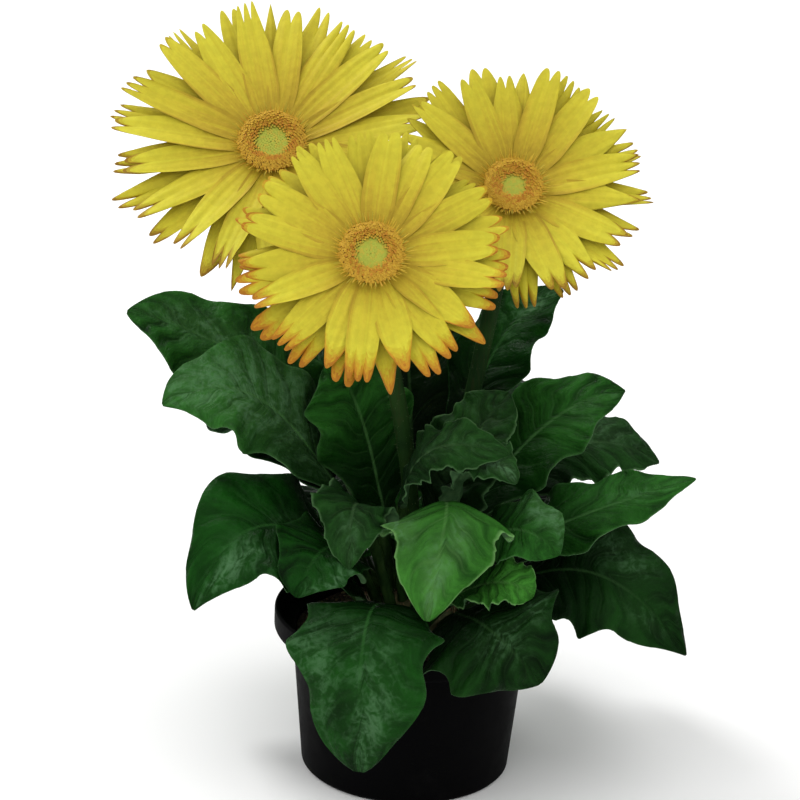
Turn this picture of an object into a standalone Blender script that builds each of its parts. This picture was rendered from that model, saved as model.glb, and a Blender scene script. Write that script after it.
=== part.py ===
"""A gerbera daisy in a round nursery pot: the pot and its potting mix, a short crown, three flower stems with
a calyx, a ring of ray petals and a disc each, and a rosette of arching leaves. Lengths below are in
millimetres and become metres where a mesh is made. X is to the viewer's right, -Y is the front and the
origin is at the centre of the pot's underside."""

import collections
import math
import random

import bmesh
import bpy
import numpy as np
from mathutils import Matrix

MM = 0.001
SEED = 7
WELD = 1e-6
SHARP = math.radians(40)

# Pot: outer radii at the foot, under the lip and at the lip, its heights, wall and drain holes
POT_FOOT_R = 40.4
POT_NECK_R = 45.6
LIP_R = 52.5
LIP_Z = 56.0
RIM_Z = 65.0
WALL = 1.4
FLOOR = 2.0
DRAIN_HOLES = 6
DRAIN_R = 4.0
DRAIN_AT = 27.0
ROUND = 40

# Potting mix and crown
GAP = 0.3
SOIL_EDGE_Z = 56.0
SOIL_TOP_Z = 59.0
SOIL_FLAT_R = 22.0
CROWN_Z = 55.0
CROWN_R = 20.0

# Flower parts, along the bloom's own axis with its petals' roots at zero
STEM_R = 2.9
STEM_TOP_R = 3.3
STEM_STEPS = 13
HUB_R = 8.6
HUB_HALF = 2.3
CALYX_R = 10.4
CALYX_DEEP = 10.0
DISC_HIGH = 3.6
PETAL_FOOT_R = 5.5
PETAL_THICK = 0.9
PETAL_WIDE = 10.4
PETAL_CURL = 1.2

# Leaf: petiole half width and half thickness, blade half thickness at the midrib and at the margin
PETIOLE_W = 2.3
PETIOLE_H = 1.9
RIB_H = 0.85
MARGIN_H = 0.4

# Rows of petals: height on the hub, lift over the bloom's own in degrees, and share of its radius
PETAL_ROWS = ((-0.75, -1.5, 1.0), (0.95, 2.5, 0.95))
# Stations along a petal: share of its length and share of its width
PETAL_SHAPE = ((0.0, 0.34), (0.22, 0.70), (0.62, 1.0), (0.92, 0.66))

Bloom = collections.namedtuple(
    "Bloom", "key centre tilt turn radius disc_r petals droop crown_angle crown_lift bow lead"
)
Leaf = collections.namedtuple("Leaf", "key lift angle bow shoulder tip half begin peak roll fold phase")

# tilt is the axis above the level and turn its heading, 0 being the front; bow is the stem's first handle
BLOOMS = [
    Bloom("left", (-58.8, 17.5, 240.5), 45, -3, 62.5, 12.6, 38, 6, 130, 76, (-14, 16, 128), 46),
    Bloom("front", (-19.0, -51.0, 219.5), 38, -1, 49.8, 11.4, 36, 4, 262, 76, (4, -16, 128), 34),
    Bloom("right", (31.0, -0.5, 232.5), 43, 2, 49.5, 10.6, 34, 11, 20, 76, (16, 4, 118), 36),
]

# lift and angle place the petiole on the crown; bow, shoulder and tip are the midrib's other handles
LEAVES = [Leaf(*row) for row in (
    # low leaves, that spread over the rim
    ("low_front", 24, 254, (-13, -44, 94), (-20, -92, 106), (-16, -76, 30), 25, 0.18, 0.56, 0, 0.1, 0.2),
    ("low_front_right", 24, 312, (20, -38, 84), (30, -70, 88), (49, -63, 63), 26, 0.2, 0.5, 30, 0.05, 0.9),
    ("low_right", 24, 350, (50, -10, 92), (73, -14, 102), (106, -18, 57), 24, 0.24, 0.45, 40, 0.08, 0.4),
    ("low_left", 26, 204, (-28, -24, 108), (-68, -34, 130), (-81, -40, 76), 26, 0.05, 0.46, -34, 0.06, 0),
    ("low_back_right", 24, 50, (34, 40, 94), (62, 72, 112), (74, 86, 52), 28, 0.28, 0.5, 0, 0.1, 0.5),
    ("low_back", 24, 88, (2, 46, 100), (5, 92, 130), (4, 118, 78), 26, 0.26, 0.5, 0, 0.1, 0.1),
    ("low_back_left", 24, 126, (-30, 42, 92), (-50, 82, 106), (-58, 94, 46), 28, 0.28, 0.5, 0, 0.1, 0.7),
    ("low_far_left", 24, 166, (-42, 14, 86), (-72, 26, 98), (-84, 30, 50), 22, 0.3, 0.5, 0, 0.1, 0.7),
    ("low_far_right", 24, 16, (46, 14, 84), (80, 24, 92), (94, 28, 44), 20, 0.32, 0.5, 0, 0.1, 0.2),
    # middle leaves
    ("mid_front", 44, 276, (10, -24, 116), (17, -50, 158), (6, -69, 88), 21, 0.34, 0.52, 4, -0.2, 0.3),
    ("mid_right", 44, 2, (40, -8, 102), (70, -16, 115), (106, -6, 125), 15, 0.2, 0.45, 28, 0.16, 0.6),
    ("mid_right_back", 44, 24, (34, 14, 119), (60, 30, 138), (95, 34, 116), 19, 0.3, 0.5, 24, 0.12, 0.3),
    ("mid_left", 44, 184, (-33, -8, 132), (-62, -10, 173), (-96, -15, 148), 22, 0.28, 0.47, -38, 0.1, 0.2),
    ("mid_back_right", 44, 66, (18, 38, 112), (46, 62, 146), (64, 92, 118), 28, 0.26, 0.5, 0, 0.14, 0.8),
    ("mid_back_left", 44, 108, (-12, 41, 114), (-21, 76, 151), (-31, 107, 123), 25, 0.26, 0.5, 0, 0.14, 0.3),
    ("mid_far_left", 44, 152, (-32, 20, 108), (-56, 41, 137), (-83, 60, 117), 23, 0.34, 0.52, 0, 0.14, 0.5),
    # upper leaves
    ("top_right", 60, 334, (22, -4, 118), (50, 0, 154), (78, 8, 154), 18, 0.26, 0.45, 34, 0.14, 0.1),
    ("top_back_right", 60, 36, (16, 18, 128), (21, 32, 172), (54, 44, 182), 15, 0.34, 0.5, 16, 0.16, 0.6),
    ("top_left", 60, 172, (-24, 18, 128), (-68, 38, 161), (-115, 36, 168), 22, 0.28, 0.5, -30, 0.12, 0.4),
    ("top_back", 60, 94, (-1, 22, 126), (-6, 48, 172), (-12, 80, 172), 23, 0.32, 0.5, 0, 0.18, 0.2),
    ("top_far_back", 60, 134, (-16, 22, 112), (-38, 66, 151), (-60, 90, 152), 20, 0.3, 0.5, 0, 0.18, 0.7),
    # young leaves among them
    ("inner_left", 60, 214, (-12, -3, 112), (-21, 6, 149), (-35, 10, 161), 20, 0.27, 0.52, -28, 0.1, 0.5),
    ("inner_right", 60, 294, (8, -8, 108), (18, -8, 138), (34, 0, 154), 18, 0.26, 0.5, 30, 0.1, 0.2),
    ("young_front", 60, 252, (-6, -28, 114), (-12, -40, 158), (34, -36, 142), 12, 0.38, 0.5, 38, 0.1, 0.5),
    ("young_right", 44, 306, (12, -15, 116), (17, -29, 153), (37, -42, 133), 11, 0.34, 0.5, 20, 0.16, 0.6),
    ("young_left", 44, 240, (-18, -22, 112), (-25, -34, 140), (-23, -51, 100), 14, 0.3, 0.5, -14, 0.18, 0.2),
    ("mid_front_left", 44, 212, (-24, -24, 102), (-34, -44, 116), (-42, -56, 90), 17, 0.3, 0.5, -26, 0.1, 0.2),
    ("mid_front_right", 44, 336, (20, -18, 104), (38, -38, 123), (54, -43, 106), 15, 0.3, 0.5, 35, 0.2, 0.2),
    ("young_low", 24, 284, (14, -34, 86), (34, -50, 104), (45, -48, 91), 11, 0.3, 0.5, 30, 0.2, 0.2),
)]

# Stations across and along a blade; its foot's curve, its waves and lobes, and how far its margins droop
LEAF_SPAN = (-1.0, -0.5, 0.0, 0.5, 1.0)
LEAF_STATIONS = 10
FOOT_CURVE = 0.75
WAVES = 3.0
LOBE = 0.12
DROOP = 0.1
RIPPLE = 2.2


def add_object(name, data, collection=None):
    obj = bpy.data.objects.new(name, data)
    (collection or bpy.context.scene.collection).objects.link(obj)
    return obj


def mesh_object(name, points, faces, collection=None):
    mesh = bpy.data.meshes.new(name)
    mesh.from_pydata([tuple(float(value) * MM for value in point) for point in points], [], faces)
    return add_object(name, mesh, collection)


def coat(obj, slot, colour, roughness):
    material = bpy.data.materials.get(slot) or bpy.data.materials.new(slot)
    material.use_nodes = True
    shader = material.node_tree.nodes["Principled BSDF"]
    shader.inputs["Base Color"].default_value = (*colour, 1.0)
    shader.inputs["Roughness"].default_value = roughness
    obj.data.materials.clear()
    obj.data.materials.append(material)
    if obj.type == "MESH":
        obj.data.shade_smooth()
        obj.data.set_sharp_from_angle(angle=SHARP)


def loft(rings, tip=None, upper=0):
    """Points and faces of a closed body through rings of equal length, ending flat or at the point tip. The
    first upper sides of each ring are split on the other diagonal, so that a thin body's two faces match."""
    count = len(rings[0])
    points = [point for ring in rings for point in ring]
    faces = [tuple(range(count - 1, -1, -1))]
    for level in range(len(rings) - 1):
        low = level * count
        for side in range(count):
            after = (side + 1) % count
            a, b, c, d = low + side, low + after, low + count + after, low + count + side
            faces += [(a, b, d), (b, c, d)] if side < upper else [(a, b, c), (a, c, d)]
    last = (len(rings) - 1) * count
    if tip is None:
        faces.append(tuple(range(last, last + count)))
    else:
        points.append(tip)
        faces += [(last + side, last + (side + 1) % count, len(points) - 1) for side in range(count)]
    return points, faces


def lathe(name, profile, sides, collection=None):
    """A closed body of revolution from (radius, height) pairs that start and end on the axis."""
    shape = bmesh.new()
    points = [shape.verts.new((radius * MM, 0.0, height * MM)) for radius, height in profile]
    lines = [shape.edges.new(ends) for ends in zip(points, points[1:])]
    bmesh.ops.spin(shape, geom=points + lines, axis=(0, 0, 1), angle=2 * math.pi, steps=sides, use_merge=True)
    bmesh.ops.remove_doubles(shape, verts=shape.verts, dist=WELD)
    bmesh.ops.recalc_face_normals(shape, faces=shape.faces)
    mesh = bpy.data.meshes.new(name)
    shape.to_mesh(mesh)
    shape.free()
    return add_object(name, mesh, collection)


def unit(vector):
    return vector / np.linalg.norm(vector)


def bezier(handles, t):
    a, b, c, d = (np.asarray(h, float) for h in handles)
    place = (1 - t) ** 3 * a + 3 * t * (1 - t) ** 2 * b + 3 * t * t * (1 - t) * c + t**3 * d
    slope = 3 * ((1 - t) ** 2 * (b - a) + 2 * t * (1 - t) * (c - b) + t * t * (d - c))
    return place, unit(slope)


def crown_seat(lift, angle):
    """The outward direction at a place on the crown, and the point just clear of it."""
    up = math.radians(lift)
    around = math.radians(angle)
    out = np.array([math.cos(up) * math.cos(around), math.cos(up) * math.sin(around), math.sin(up)])
    return out, np.array([0.0, 0.0, CROWN_Z]) + out * (CROWN_R + GAP)


def bloom_axes(bloom):
    """Rows are the bloom's level side, its upward side and its axis."""
    tilt = math.radians(bloom.tilt)
    turn = math.radians(bloom.turn)
    axis = np.array([math.sin(turn) * math.cos(tilt), -math.cos(turn) * math.cos(tilt), math.sin(tilt)])
    side = unit(np.cross([0.0, 0.0, 1.0], axis))
    return np.array([side, np.cross(axis, side), axis])


def bloom_place(bloom):
    """The matrix that sets a flower's parts, which are made about Z with the petals' roots at zero."""
    place = Matrix(bloom_axes(bloom).tolist()).transposed().to_4x4()
    place.translation = [value * MM for value in bloom.centre]
    return place


# Pot, potting mix and crown


def pot():
    taper = (POT_NECK_R - POT_FOOT_R) / LIP_Z
    outside = [
        (0.0, 0.0),
        (POT_FOOT_R - 1.5, 0.0),
        (POT_FOOT_R, 1.5),
        (POT_NECK_R, LIP_Z),
        (LIP_R - 0.8, LIP_Z),
        (LIP_R, LIP_Z + 1.2),
        (LIP_R, RIM_Z - 0.8),
        (LIP_R - 0.6, RIM_Z),
    ]
    inside = [
        (LIP_R - WALL, RIM_Z),
        (LIP_R - WALL, LIP_Z + WALL),
        (POT_NECK_R - WALL, LIP_Z + WALL),
        (POT_FOOT_R + taper * FLOOR - WALL, FLOOR),
        (0.0, FLOOR),
    ]
    body = lathe("pot", outside + inside, ROUND)
    drills = bpy.data.collections.new("drills")
    for hole in range(DRAIN_HOLES):
        around = 2 * math.pi * (hole + 0.5) / DRAIN_HOLES
        profile = [(0, -5), (DRAIN_R, -5), (DRAIN_R, FLOOR + 5), (0, FLOOR + 5)]
        drill = lathe(f"drill_{hole}", profile, 10, drills)
        drill.location = (DRAIN_AT * MM * math.cos(around), DRAIN_AT * MM * math.sin(around), 0.0)
    combine(body, drills, "DIFFERENCE", "EXACT")
    coat(body, "pot_plastic", (0.012, 0.012, 0.013), 0.5)


def soil():
    taper = (POT_NECK_R - POT_FOOT_R) / LIP_Z
    foot_z = FLOOR + GAP
    profile = [
        (0.0, foot_z),
        (POT_FOOT_R + taper * foot_z - WALL - 1.6 * GAP, foot_z),
        (POT_NECK_R - taper * (LIP_Z - SOIL_EDGE_Z) - WALL - 1.6 * GAP, SOIL_EDGE_Z),
        (SOIL_FLAT_R, SOIL_TOP_Z),
        (0.0, SOIL_TOP_Z),
    ]
    coat(lathe("potting_mix", profile, ROUND), "potting_mix", (0.035, 0.022, 0.014), 0.95)


def crown():
    foot = SOIL_TOP_Z + GAP
    low = math.asin((foot - CROWN_Z) / CROWN_R)
    rows = [low + (math.pi / 2 - low) * step / 6 for step in range(6)]
    profile = [(0.0, foot)]
    profile += [(CROWN_R * math.cos(a), CROWN_Z + CROWN_R * math.sin(a)) for a in rows]
    profile += [(0.0, CROWN_Z + CROWN_R)]
    coat(lathe("crown", profile, 24), "crown", (0.10, 0.14, 0.03), 0.7)


def combine(body, collection, operation, solver):
    """One Boolean of a collection with the body, applied, and the collection's objects removed."""
    change = body.modifiers.new("combine", "BOOLEAN")
    change.operation = operation
    change.operand_type = "COLLECTION"
    change.collection = collection
    change.solver = solver
    bpy.context.view_layer.update()
    made = bpy.data.meshes.new_from_object(body.evaluated_get(bpy.context.evaluated_depsgraph_get()))
    body.modifiers.clear()
    body.data = made
    for part in list(collection.objects):
        bpy.data.objects.remove(part)
    bpy.data.collections.remove(collection)


# Flowers


def petal(length, width, lift_deg):
    """A ray petal along +X from inside the hub: wedge at its root, widest past the middle, a blunt point."""
    lift = math.tan(math.radians(lift_deg))

    def centre(share):
        out = (length - PETAL_FOOT_R) * share
        return PETAL_FOOT_R + out, out * lift - PETAL_CURL * share * share

    rings = []
    for share, wide in PETAL_SHAPE:
        out, high = centre(share)
        half = width * wide / 2
        deep = PETAL_THICK / 2 * (1.0 - 0.25 * share)
        rim = high + deep * 0.35
        rings.append([(out, -half, rim), (out, 0.0, high - deep), (out, half, rim), (out, 0.0, high + deep)])
    out, high = centre(1.0)
    return loft(rings, (out, 0.0, high))


def petal_rows(bloom):
    """Angle, length, width, height and lift of each petal, in both rows, from the bloom's seed."""
    rng = random.Random(f"{SEED} {bloom.key}")
    rows = []
    half = bloom.petals // 2
    for row, (high, lift, share) in enumerate(PETAL_ROWS):
        for step in range(half):
            angle = 2 * math.pi * (step + 0.5 * row) / half + rng.uniform(-0.05, 0.05)
            length = bloom.radius * share * rng.uniform(0.94, 1.03)
            width = PETAL_WIDE * rng.uniform(0.9, 1.05)
            rows.append((angle, length, width, high, bloom.droop + lift + rng.uniform(-1.2, 1.2)))
    return rows


def ray_ring(bloom, place):
    """The hub with all its ray petals, as one solid."""
    hub = [(0, -HUB_HALF), (HUB_R - 1.2, -HUB_HALF), (HUB_R, 0.0), (HUB_R - 0.8, HUB_HALF), (0, HUB_HALF)]
    body = lathe("bloom_" + bloom.key, hub, 20)
    body.matrix_world = place
    petals = bpy.data.collections.new("petals_" + bloom.key)
    for index, (angle, length, width, high, lift) in enumerate(petal_rows(bloom)):
        ray = mesh_object(f"petal_{index}", *petal(length, width, lift), petals)
        ray.matrix_world = place @ Matrix.Rotation(angle, 4, "Z") @ Matrix.Translation((0.0, 0.0, high * MM))
    combine(body, petals, "UNION", "MANIFOLD")
    coat(body, "petal", (0.85, 0.62, 0.02), 0.55)


def disc(bloom, place):
    """The dome of disc florets in the middle, a little hollow at its heart."""
    low = HUB_HALF + GAP
    wide = bloom.disc_r
    profile = [
        (0, low),
        (HUB_R - 0.5, low),
        (wide - 1.2, low + 1.2),
        (wide, low + 2.2),
        (wide * 0.84, low + DISC_HIGH),
        (wide * 0.62, low + DISC_HIGH - 0.2),
        (wide * 0.42, low + DISC_HIGH - 1.0),
        (0, low + DISC_HIGH - 0.6),
    ]
    dome = lathe("disc_" + bloom.key, profile, 18)
    dome.matrix_world = place
    coat(dome, "disc", (0.62, 0.26, 0.04), 0.8)


def calyx(bloom, place):
    """The green cup under the petals, on top of the stem."""
    top = -HUB_HALF - GAP
    profile = [
        (0, top - CALYX_DEEP),
        (STEM_TOP_R + 0.3, top - CALYX_DEEP),
        (STEM_TOP_R + 2.0, top - CALYX_DEEP + 2.0),
        (CALYX_R - 1.6, top - 4.0),
        (CALYX_R, top - 0.8),
        (CALYX_R - 1.2, top),
        (0, top),
    ]
    cup = lathe("calyx_" + bloom.key, profile, 16)
    cup.matrix_world = place
    coat(cup, "calyx", (0.12, 0.22, 0.05), 0.7)


def stem_handles(bloom):
    """Foot, two handles and top of the stem's curve, from just off the crown to just under the calyx."""
    out, seat = crown_seat(bloom.crown_lift, bloom.crown_angle)
    axis = bloom_axes(bloom)[2]
    top = np.asarray(bloom.centre, float) - axis * (HUB_HALF + CALYX_DEEP + 2 * GAP)
    low = seat + out * 14.0 + (np.asarray(bloom.bow, float) - seat) * 0.8
    return seat + unit(low - seat) * 0.2, low, top - axis * bloom.lead, top


def stem(bloom):
    """A round stalk that widens a little towards the flower."""
    foot, low, high, top = stem_handles(bloom)
    curve = bpy.data.curves.new("stem_" + bloom.key, "CURVE")
    curve.dimensions = "3D"
    curve.resolution_u = STEM_STEPS
    curve.bevel_depth = STEM_R * MM
    curve.bevel_resolution = 2
    curve.use_fill_caps = True
    ends = curve.splines.new("BEZIER").bezier_points
    ends.add(1)
    for end, place, before, after, radius in (
        (ends[0], foot, 2 * foot - low, low, STEM_R),
        (ends[1], top, high, 2 * top - high, STEM_TOP_R),
    ):
        end.co = place * MM
        end.handle_left = before * MM
        end.handle_right = after * MM
        end.radius = radius / STEM_R
    coat(add_object("stem_" + bloom.key, curve), "stem", (0.10, 0.18, 0.04), 0.6)


# Leaves


def leaf_handles(leaf):
    seat = crown_seat(leaf.lift, leaf.angle)[1]
    return seat, *(np.asarray(point, float) for point in (leaf.bow, leaf.shoulder, leaf.tip))


def leaf_frame(leaf, t):
    """The midrib's place, the leaf's side and its upper face's direction, at share t of the leaf's length."""
    handles = leaf_handles(leaf)
    place, along = bezier(handles, t)
    if t == 0.0:
        along = crown_seat(leaf.lift, leaf.angle)[0]
    reach = handles[3] - handles[0]
    level = unit(np.array([-reach[1], reach[0], 0.0]))
    side = unit(level - along * np.dot(level, along))
    upper = np.cross(along, side)
    roll = math.radians(leaf.roll) * min(1.0, t * 2.0)
    turned_side = side * math.cos(roll) + upper * math.sin(roll)
    return place, turned_side, np.cross(along, turned_side)


def blade_half(leaf, u, s):
    """Half width at share u of the blade on side s: a narrow foot, a round end and shallow lobes."""
    if u <= 0.0:
        return PETIOLE_W
    tip_curve = FOOT_CURVE * (1.0 - leaf.peak) / leaf.peak
    full = (u / leaf.peak) ** FOOT_CURVE * ((1.0 - u) / (1.0 - leaf.peak)) ** tip_curve
    shift = 0.35 if s > 0 else 0.0
    lobes = 1.0 + LOBE * math.cos(2 * math.pi * (WAVES * u + leaf.phase + shift))
    return PETIOLE_W * (1.0 - u) + leaf.half * full * lobes


def leaf_point(leaf, t, s, face):
    """A point of the leaf: t runs from foot to tip, s from its right margin to its left, face is 1 or -1."""
    place, side, upper = leaf_frame(leaf, t)
    u = (t - leaf.begin) / (1.0 - leaf.begin)
    spread = max(0.0, min(1.0, u / 0.15))
    half = blade_half(leaf, u, s)
    wave = math.sin(2 * math.pi * (WAVES * u + leaf.phase) + (2.1 if s > 0 else 0.0))
    bell = math.sin(math.pi * min(1.0, max(0.0, u)))
    lift = spread * (leaf.fold * abs(s) * half - DROOP * s * s * half + RIPPLE * s * s * wave * bell)
    body = PETIOLE_H + (RIB_H - PETIOLE_H) * spread
    rim = MARGIN_H + (0.5 - MARGIN_H) * (1.0 - spread)
    deep = body + (rim - body) * abs(s) ** 0.7
    if u > 0.9:
        deep = max(0.3, deep * (1.0 - (u - 0.9) * 4.0))
    return place + side * (s * half) + upper * (lift + face * deep)


def leaf_body(leaf):
    shares = [leaf.begin * k / 3 for k in range(3)]
    shares += [leaf.begin + (1.0 - leaf.begin) * k / LEAF_STATIONS for k in range(LEAF_STATIONS)]
    shares[-1] = leaf.begin + (1.0 - leaf.begin) * 0.965
    rings = []
    for t in shares:
        top = [leaf_point(leaf, t, s, 1.0) for s in LEAF_SPAN]
        under = [leaf_point(leaf, t, s, -1.0) for s in LEAF_SPAN]
        rings.append(top[::-1] + under)
    place, _, _ = leaf_frame(leaf, 1.0)
    points, faces = loft(rings, place, len(LEAF_SPAN))
    coat(mesh_object("leaf_" + leaf.key, points, faces), "leaf", (0.012, 0.085, 0.016), 0.35)


def main():
    for obj in list(bpy.data.objects):
        bpy.data.objects.remove(obj)
    pot()
    soil()
    crown()
    for bloom in BLOOMS:
        place = bloom_place(bloom)
        ray_ring(bloom, place)
        disc(bloom, place)
        calyx(bloom, place)
        stem(bloom)
    for leaf in LEAVES:
        leaf_body(leaf)


main()
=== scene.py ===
"""Looks of the potted gerbera daisy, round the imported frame: lobed and veined leaves, ray petals with split
ends, discs of single florets, bracts, hairy stems, potting mix and pot. Lengths below are in millimetres and
become metres where a mesh is made. The tables and rules of growth repeat those of the part's own source."""
import collections
import math
import random

import bpy
import numpy as np
from mathutils import Matrix, Vector


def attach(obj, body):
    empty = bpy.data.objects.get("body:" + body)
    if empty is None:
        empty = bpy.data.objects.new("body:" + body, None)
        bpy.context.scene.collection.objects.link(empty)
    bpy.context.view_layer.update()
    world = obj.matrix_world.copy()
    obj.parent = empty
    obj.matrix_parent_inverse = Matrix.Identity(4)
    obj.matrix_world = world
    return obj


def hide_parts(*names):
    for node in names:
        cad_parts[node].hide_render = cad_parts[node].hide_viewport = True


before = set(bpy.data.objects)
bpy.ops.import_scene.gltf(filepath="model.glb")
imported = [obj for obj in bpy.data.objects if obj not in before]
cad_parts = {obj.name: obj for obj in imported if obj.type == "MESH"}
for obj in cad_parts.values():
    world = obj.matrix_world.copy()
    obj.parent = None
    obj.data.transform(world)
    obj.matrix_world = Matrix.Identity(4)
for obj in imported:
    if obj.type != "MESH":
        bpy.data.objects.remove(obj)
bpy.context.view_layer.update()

MM = 0.001
SEED = 7
BODY = "root"
UP = np.array([0.0, 0.0, 1.0])
TINY = 1e-6

# Turned shapes: their radius at the axis, their sides, and the most that a rounded corner takes of an edge
AXIS_R = 0.01
ROUND = 48
CORNER_SHARE = 0.45

# Pot: outer radii at the foot, under the lip and at the lip, its heights, wall, drain holes and bevels
POT_FOOT_R = 40.4
POT_NECK_R = 45.6
LIP_R = 52.5
LIP_Z = 56.0
RIM_Z = 65.0
WALL = 1.4
FLOOR = 2.0
DRAIN_HOLES = 6
DRAIN_R = 4.0
DRAIN_AT = 27.0
DRILL_PAST = 5.0
FOOT_BEVEL = 1.5
NECK_IN = 0.4
NECK_BELOW = 3.0
LIP_BEVEL = 0.8
LIP_UNDER = 1.2
LIP_CREST = 0.6
POT_SIDES = 144
POT_TAPER = (POT_NECK_R - POT_FOOT_R) / LIP_Z

# Potting mix and crown
GAP = 0.3
MIX_GAP = 1.6 * GAP
SOIL_EDGE_Z = 56.0
SOIL_TOP_Z = 59.0
SOIL_FLAT_R = 22.0
SOIL_SIDES = 120
SOIL_RINGS = 44
CROWN_Z = 55.0
CROWN_R = 20.0
CROWN_SINK = 0.4
CROWN_SIDES = 64
CROWN_STEPS = 15
SCALES = 70
WOOL = 420

# Grains on the mix: their number, their profile at size 1, and the sizes of the finest, of a coarse one, of
# the smallest that is always bark and of the largest
GRAINS = 900
GRAIN = ((0.12, -0.8), (0.72, -0.55), (1.0, 0.0), (0.7, 0.55), (0.12, 0.78))
GRAIN_FINE = 0.35
GRAIN_COARSE = 1.1
GRAIN_BARK = 1.3
GRAIN_LARGEST = 1.8

# Flower parts, along the bloom's own axis with its petals' roots at zero
STEM_R = 2.9
STEM_TOP_R = 3.3
STEM_STATIONS = 72
STEM_SIDES = 28
STEM_RIBS = 9
STEM_HAIRS = 360
HUB_R = 8.6
HUB_HALF = 2.3
CALYX_R = 10.4
CALYX_DEEP = 10.0
CALYX_HAIRS = 260
CUP_STEPS = 12
DISC_HIGH = 3.6
HAIR_RINGS = 5
HAIR_CORNERS = (0.0, 2.1, 4.2)

# Petals: sizes, share of the width at the root, share of the length where the end begins to narrow, and how
# much wider than in the solids they are
PETAL_THICK = 0.55
PETAL_WIDE = 10.4
PETAL_FOOT_R = 5.5
PETAL_RIB = 0.13
PETAL_STATIONS = 40
PETAL_COLUMNS = 19
CLAW = 0.40
NARROW_FROM = 0.60
PETAL_OVERLAP = 1.18

# How single petals vary: the number of fingers that an end is cut into, the share of the length that is cut
# and how bluntly, then lean, taper, cup, phase of the ribs, twist in degrees, sideways bend, curl and the
# rise of the tip
FINGERS = (1, 2, 2, 2, 2, 3)
BLUNT_END = ((0.06, 0.16), (2.2, 3.4))
KEEN_END = ((0.08, 0.20), (1.6, 2.6))
BLUNT_BLOOM = "front"
PETAL_VARIES = (
    (-0.035, 0.035), (0.15, 0.35), (-0.5, 1.2), (-1.0, 1.0),
    (-18.0, 18.0), (-2.2, 2.2), (0.2, 2.4), (-2.0, 1.2),
)

# Rows of petals: height on the hub, lift over the bloom's own in degrees, and share of its radius
PETAL_ROWS = ((-0.75, -1.5, 1.0), (0.95, 2.5, 0.95))

# Leaf: petiole half width and half thickness, blade half thickness, and how much thinner it is at the margin
PETIOLE_W = 2.3
PETIOLE_H = 1.9
BLADE_H = 0.26
MARGIN_THINNER = 0.35

# Shape of a blade: how its foot widens, the lobes to a side, their depth and the shift between the sides,
# droop, ripples, crinkles, quilting and swells, and the midrib's width and its rise above and below
FOOT_CURVE = 0.75
WAVES = 3.0
LOBE = 0.12
LOBE_SHIFT = 0.35
DROOP = 0.1
RIPPLE = 2.2
CRINKLE = 1.1
QUILT = 0.035
SWELL = 0.07
RIB_WIDE = 1.7
RIB_ABOVE = 0.10
RIB_BELOW = 1.15

# Rows of points along a petiole and along a blade, and columns in half its width
PETIOLE_STATIONS = 16
BLADE_STATIONS = 92
HALF_COLUMNS = 14

# Shares of a blade in which it grows out of the petiole, and at which its mesh ends
NECK_SHARE = 0.15
BLADE_END = 0.996

# Side veins and teeth, in numbers to a side
VEINS = 8.0
VEIN_SWEEP = 0.17
VEIN_BEND = 0.85
VEIN_START = 40.0
TEETH = 11.0
TOOTH = 0.6
TOOTH_SHIFT = 0.45

Bloom = collections.namedtuple(
    "Bloom", "key centre tilt turn radius disc_r petals droop crown_angle crown_lift bow lead"
)
Leaf = collections.namedtuple("Leaf", "key lift angle bow shoulder tip half begin peak roll fold phase")

BLOOMS = [
    Bloom("left", (-58.8, 17.5, 240.5), 45, -3, 62.5, 12.6, 38, 6, 130, 76, (-14, 16, 128), 46),
    Bloom("front", (-19.0, -51.0, 219.5), 38, -1, 49.8, 11.4, 36, 4, 262, 76, (4, -16, 128), 34),
    Bloom("right", (31.0, -0.5, 232.5), 43, 2, 49.5, 10.6, 34, 11, 20, 76, (16, 4, 118), 36),
]

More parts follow.
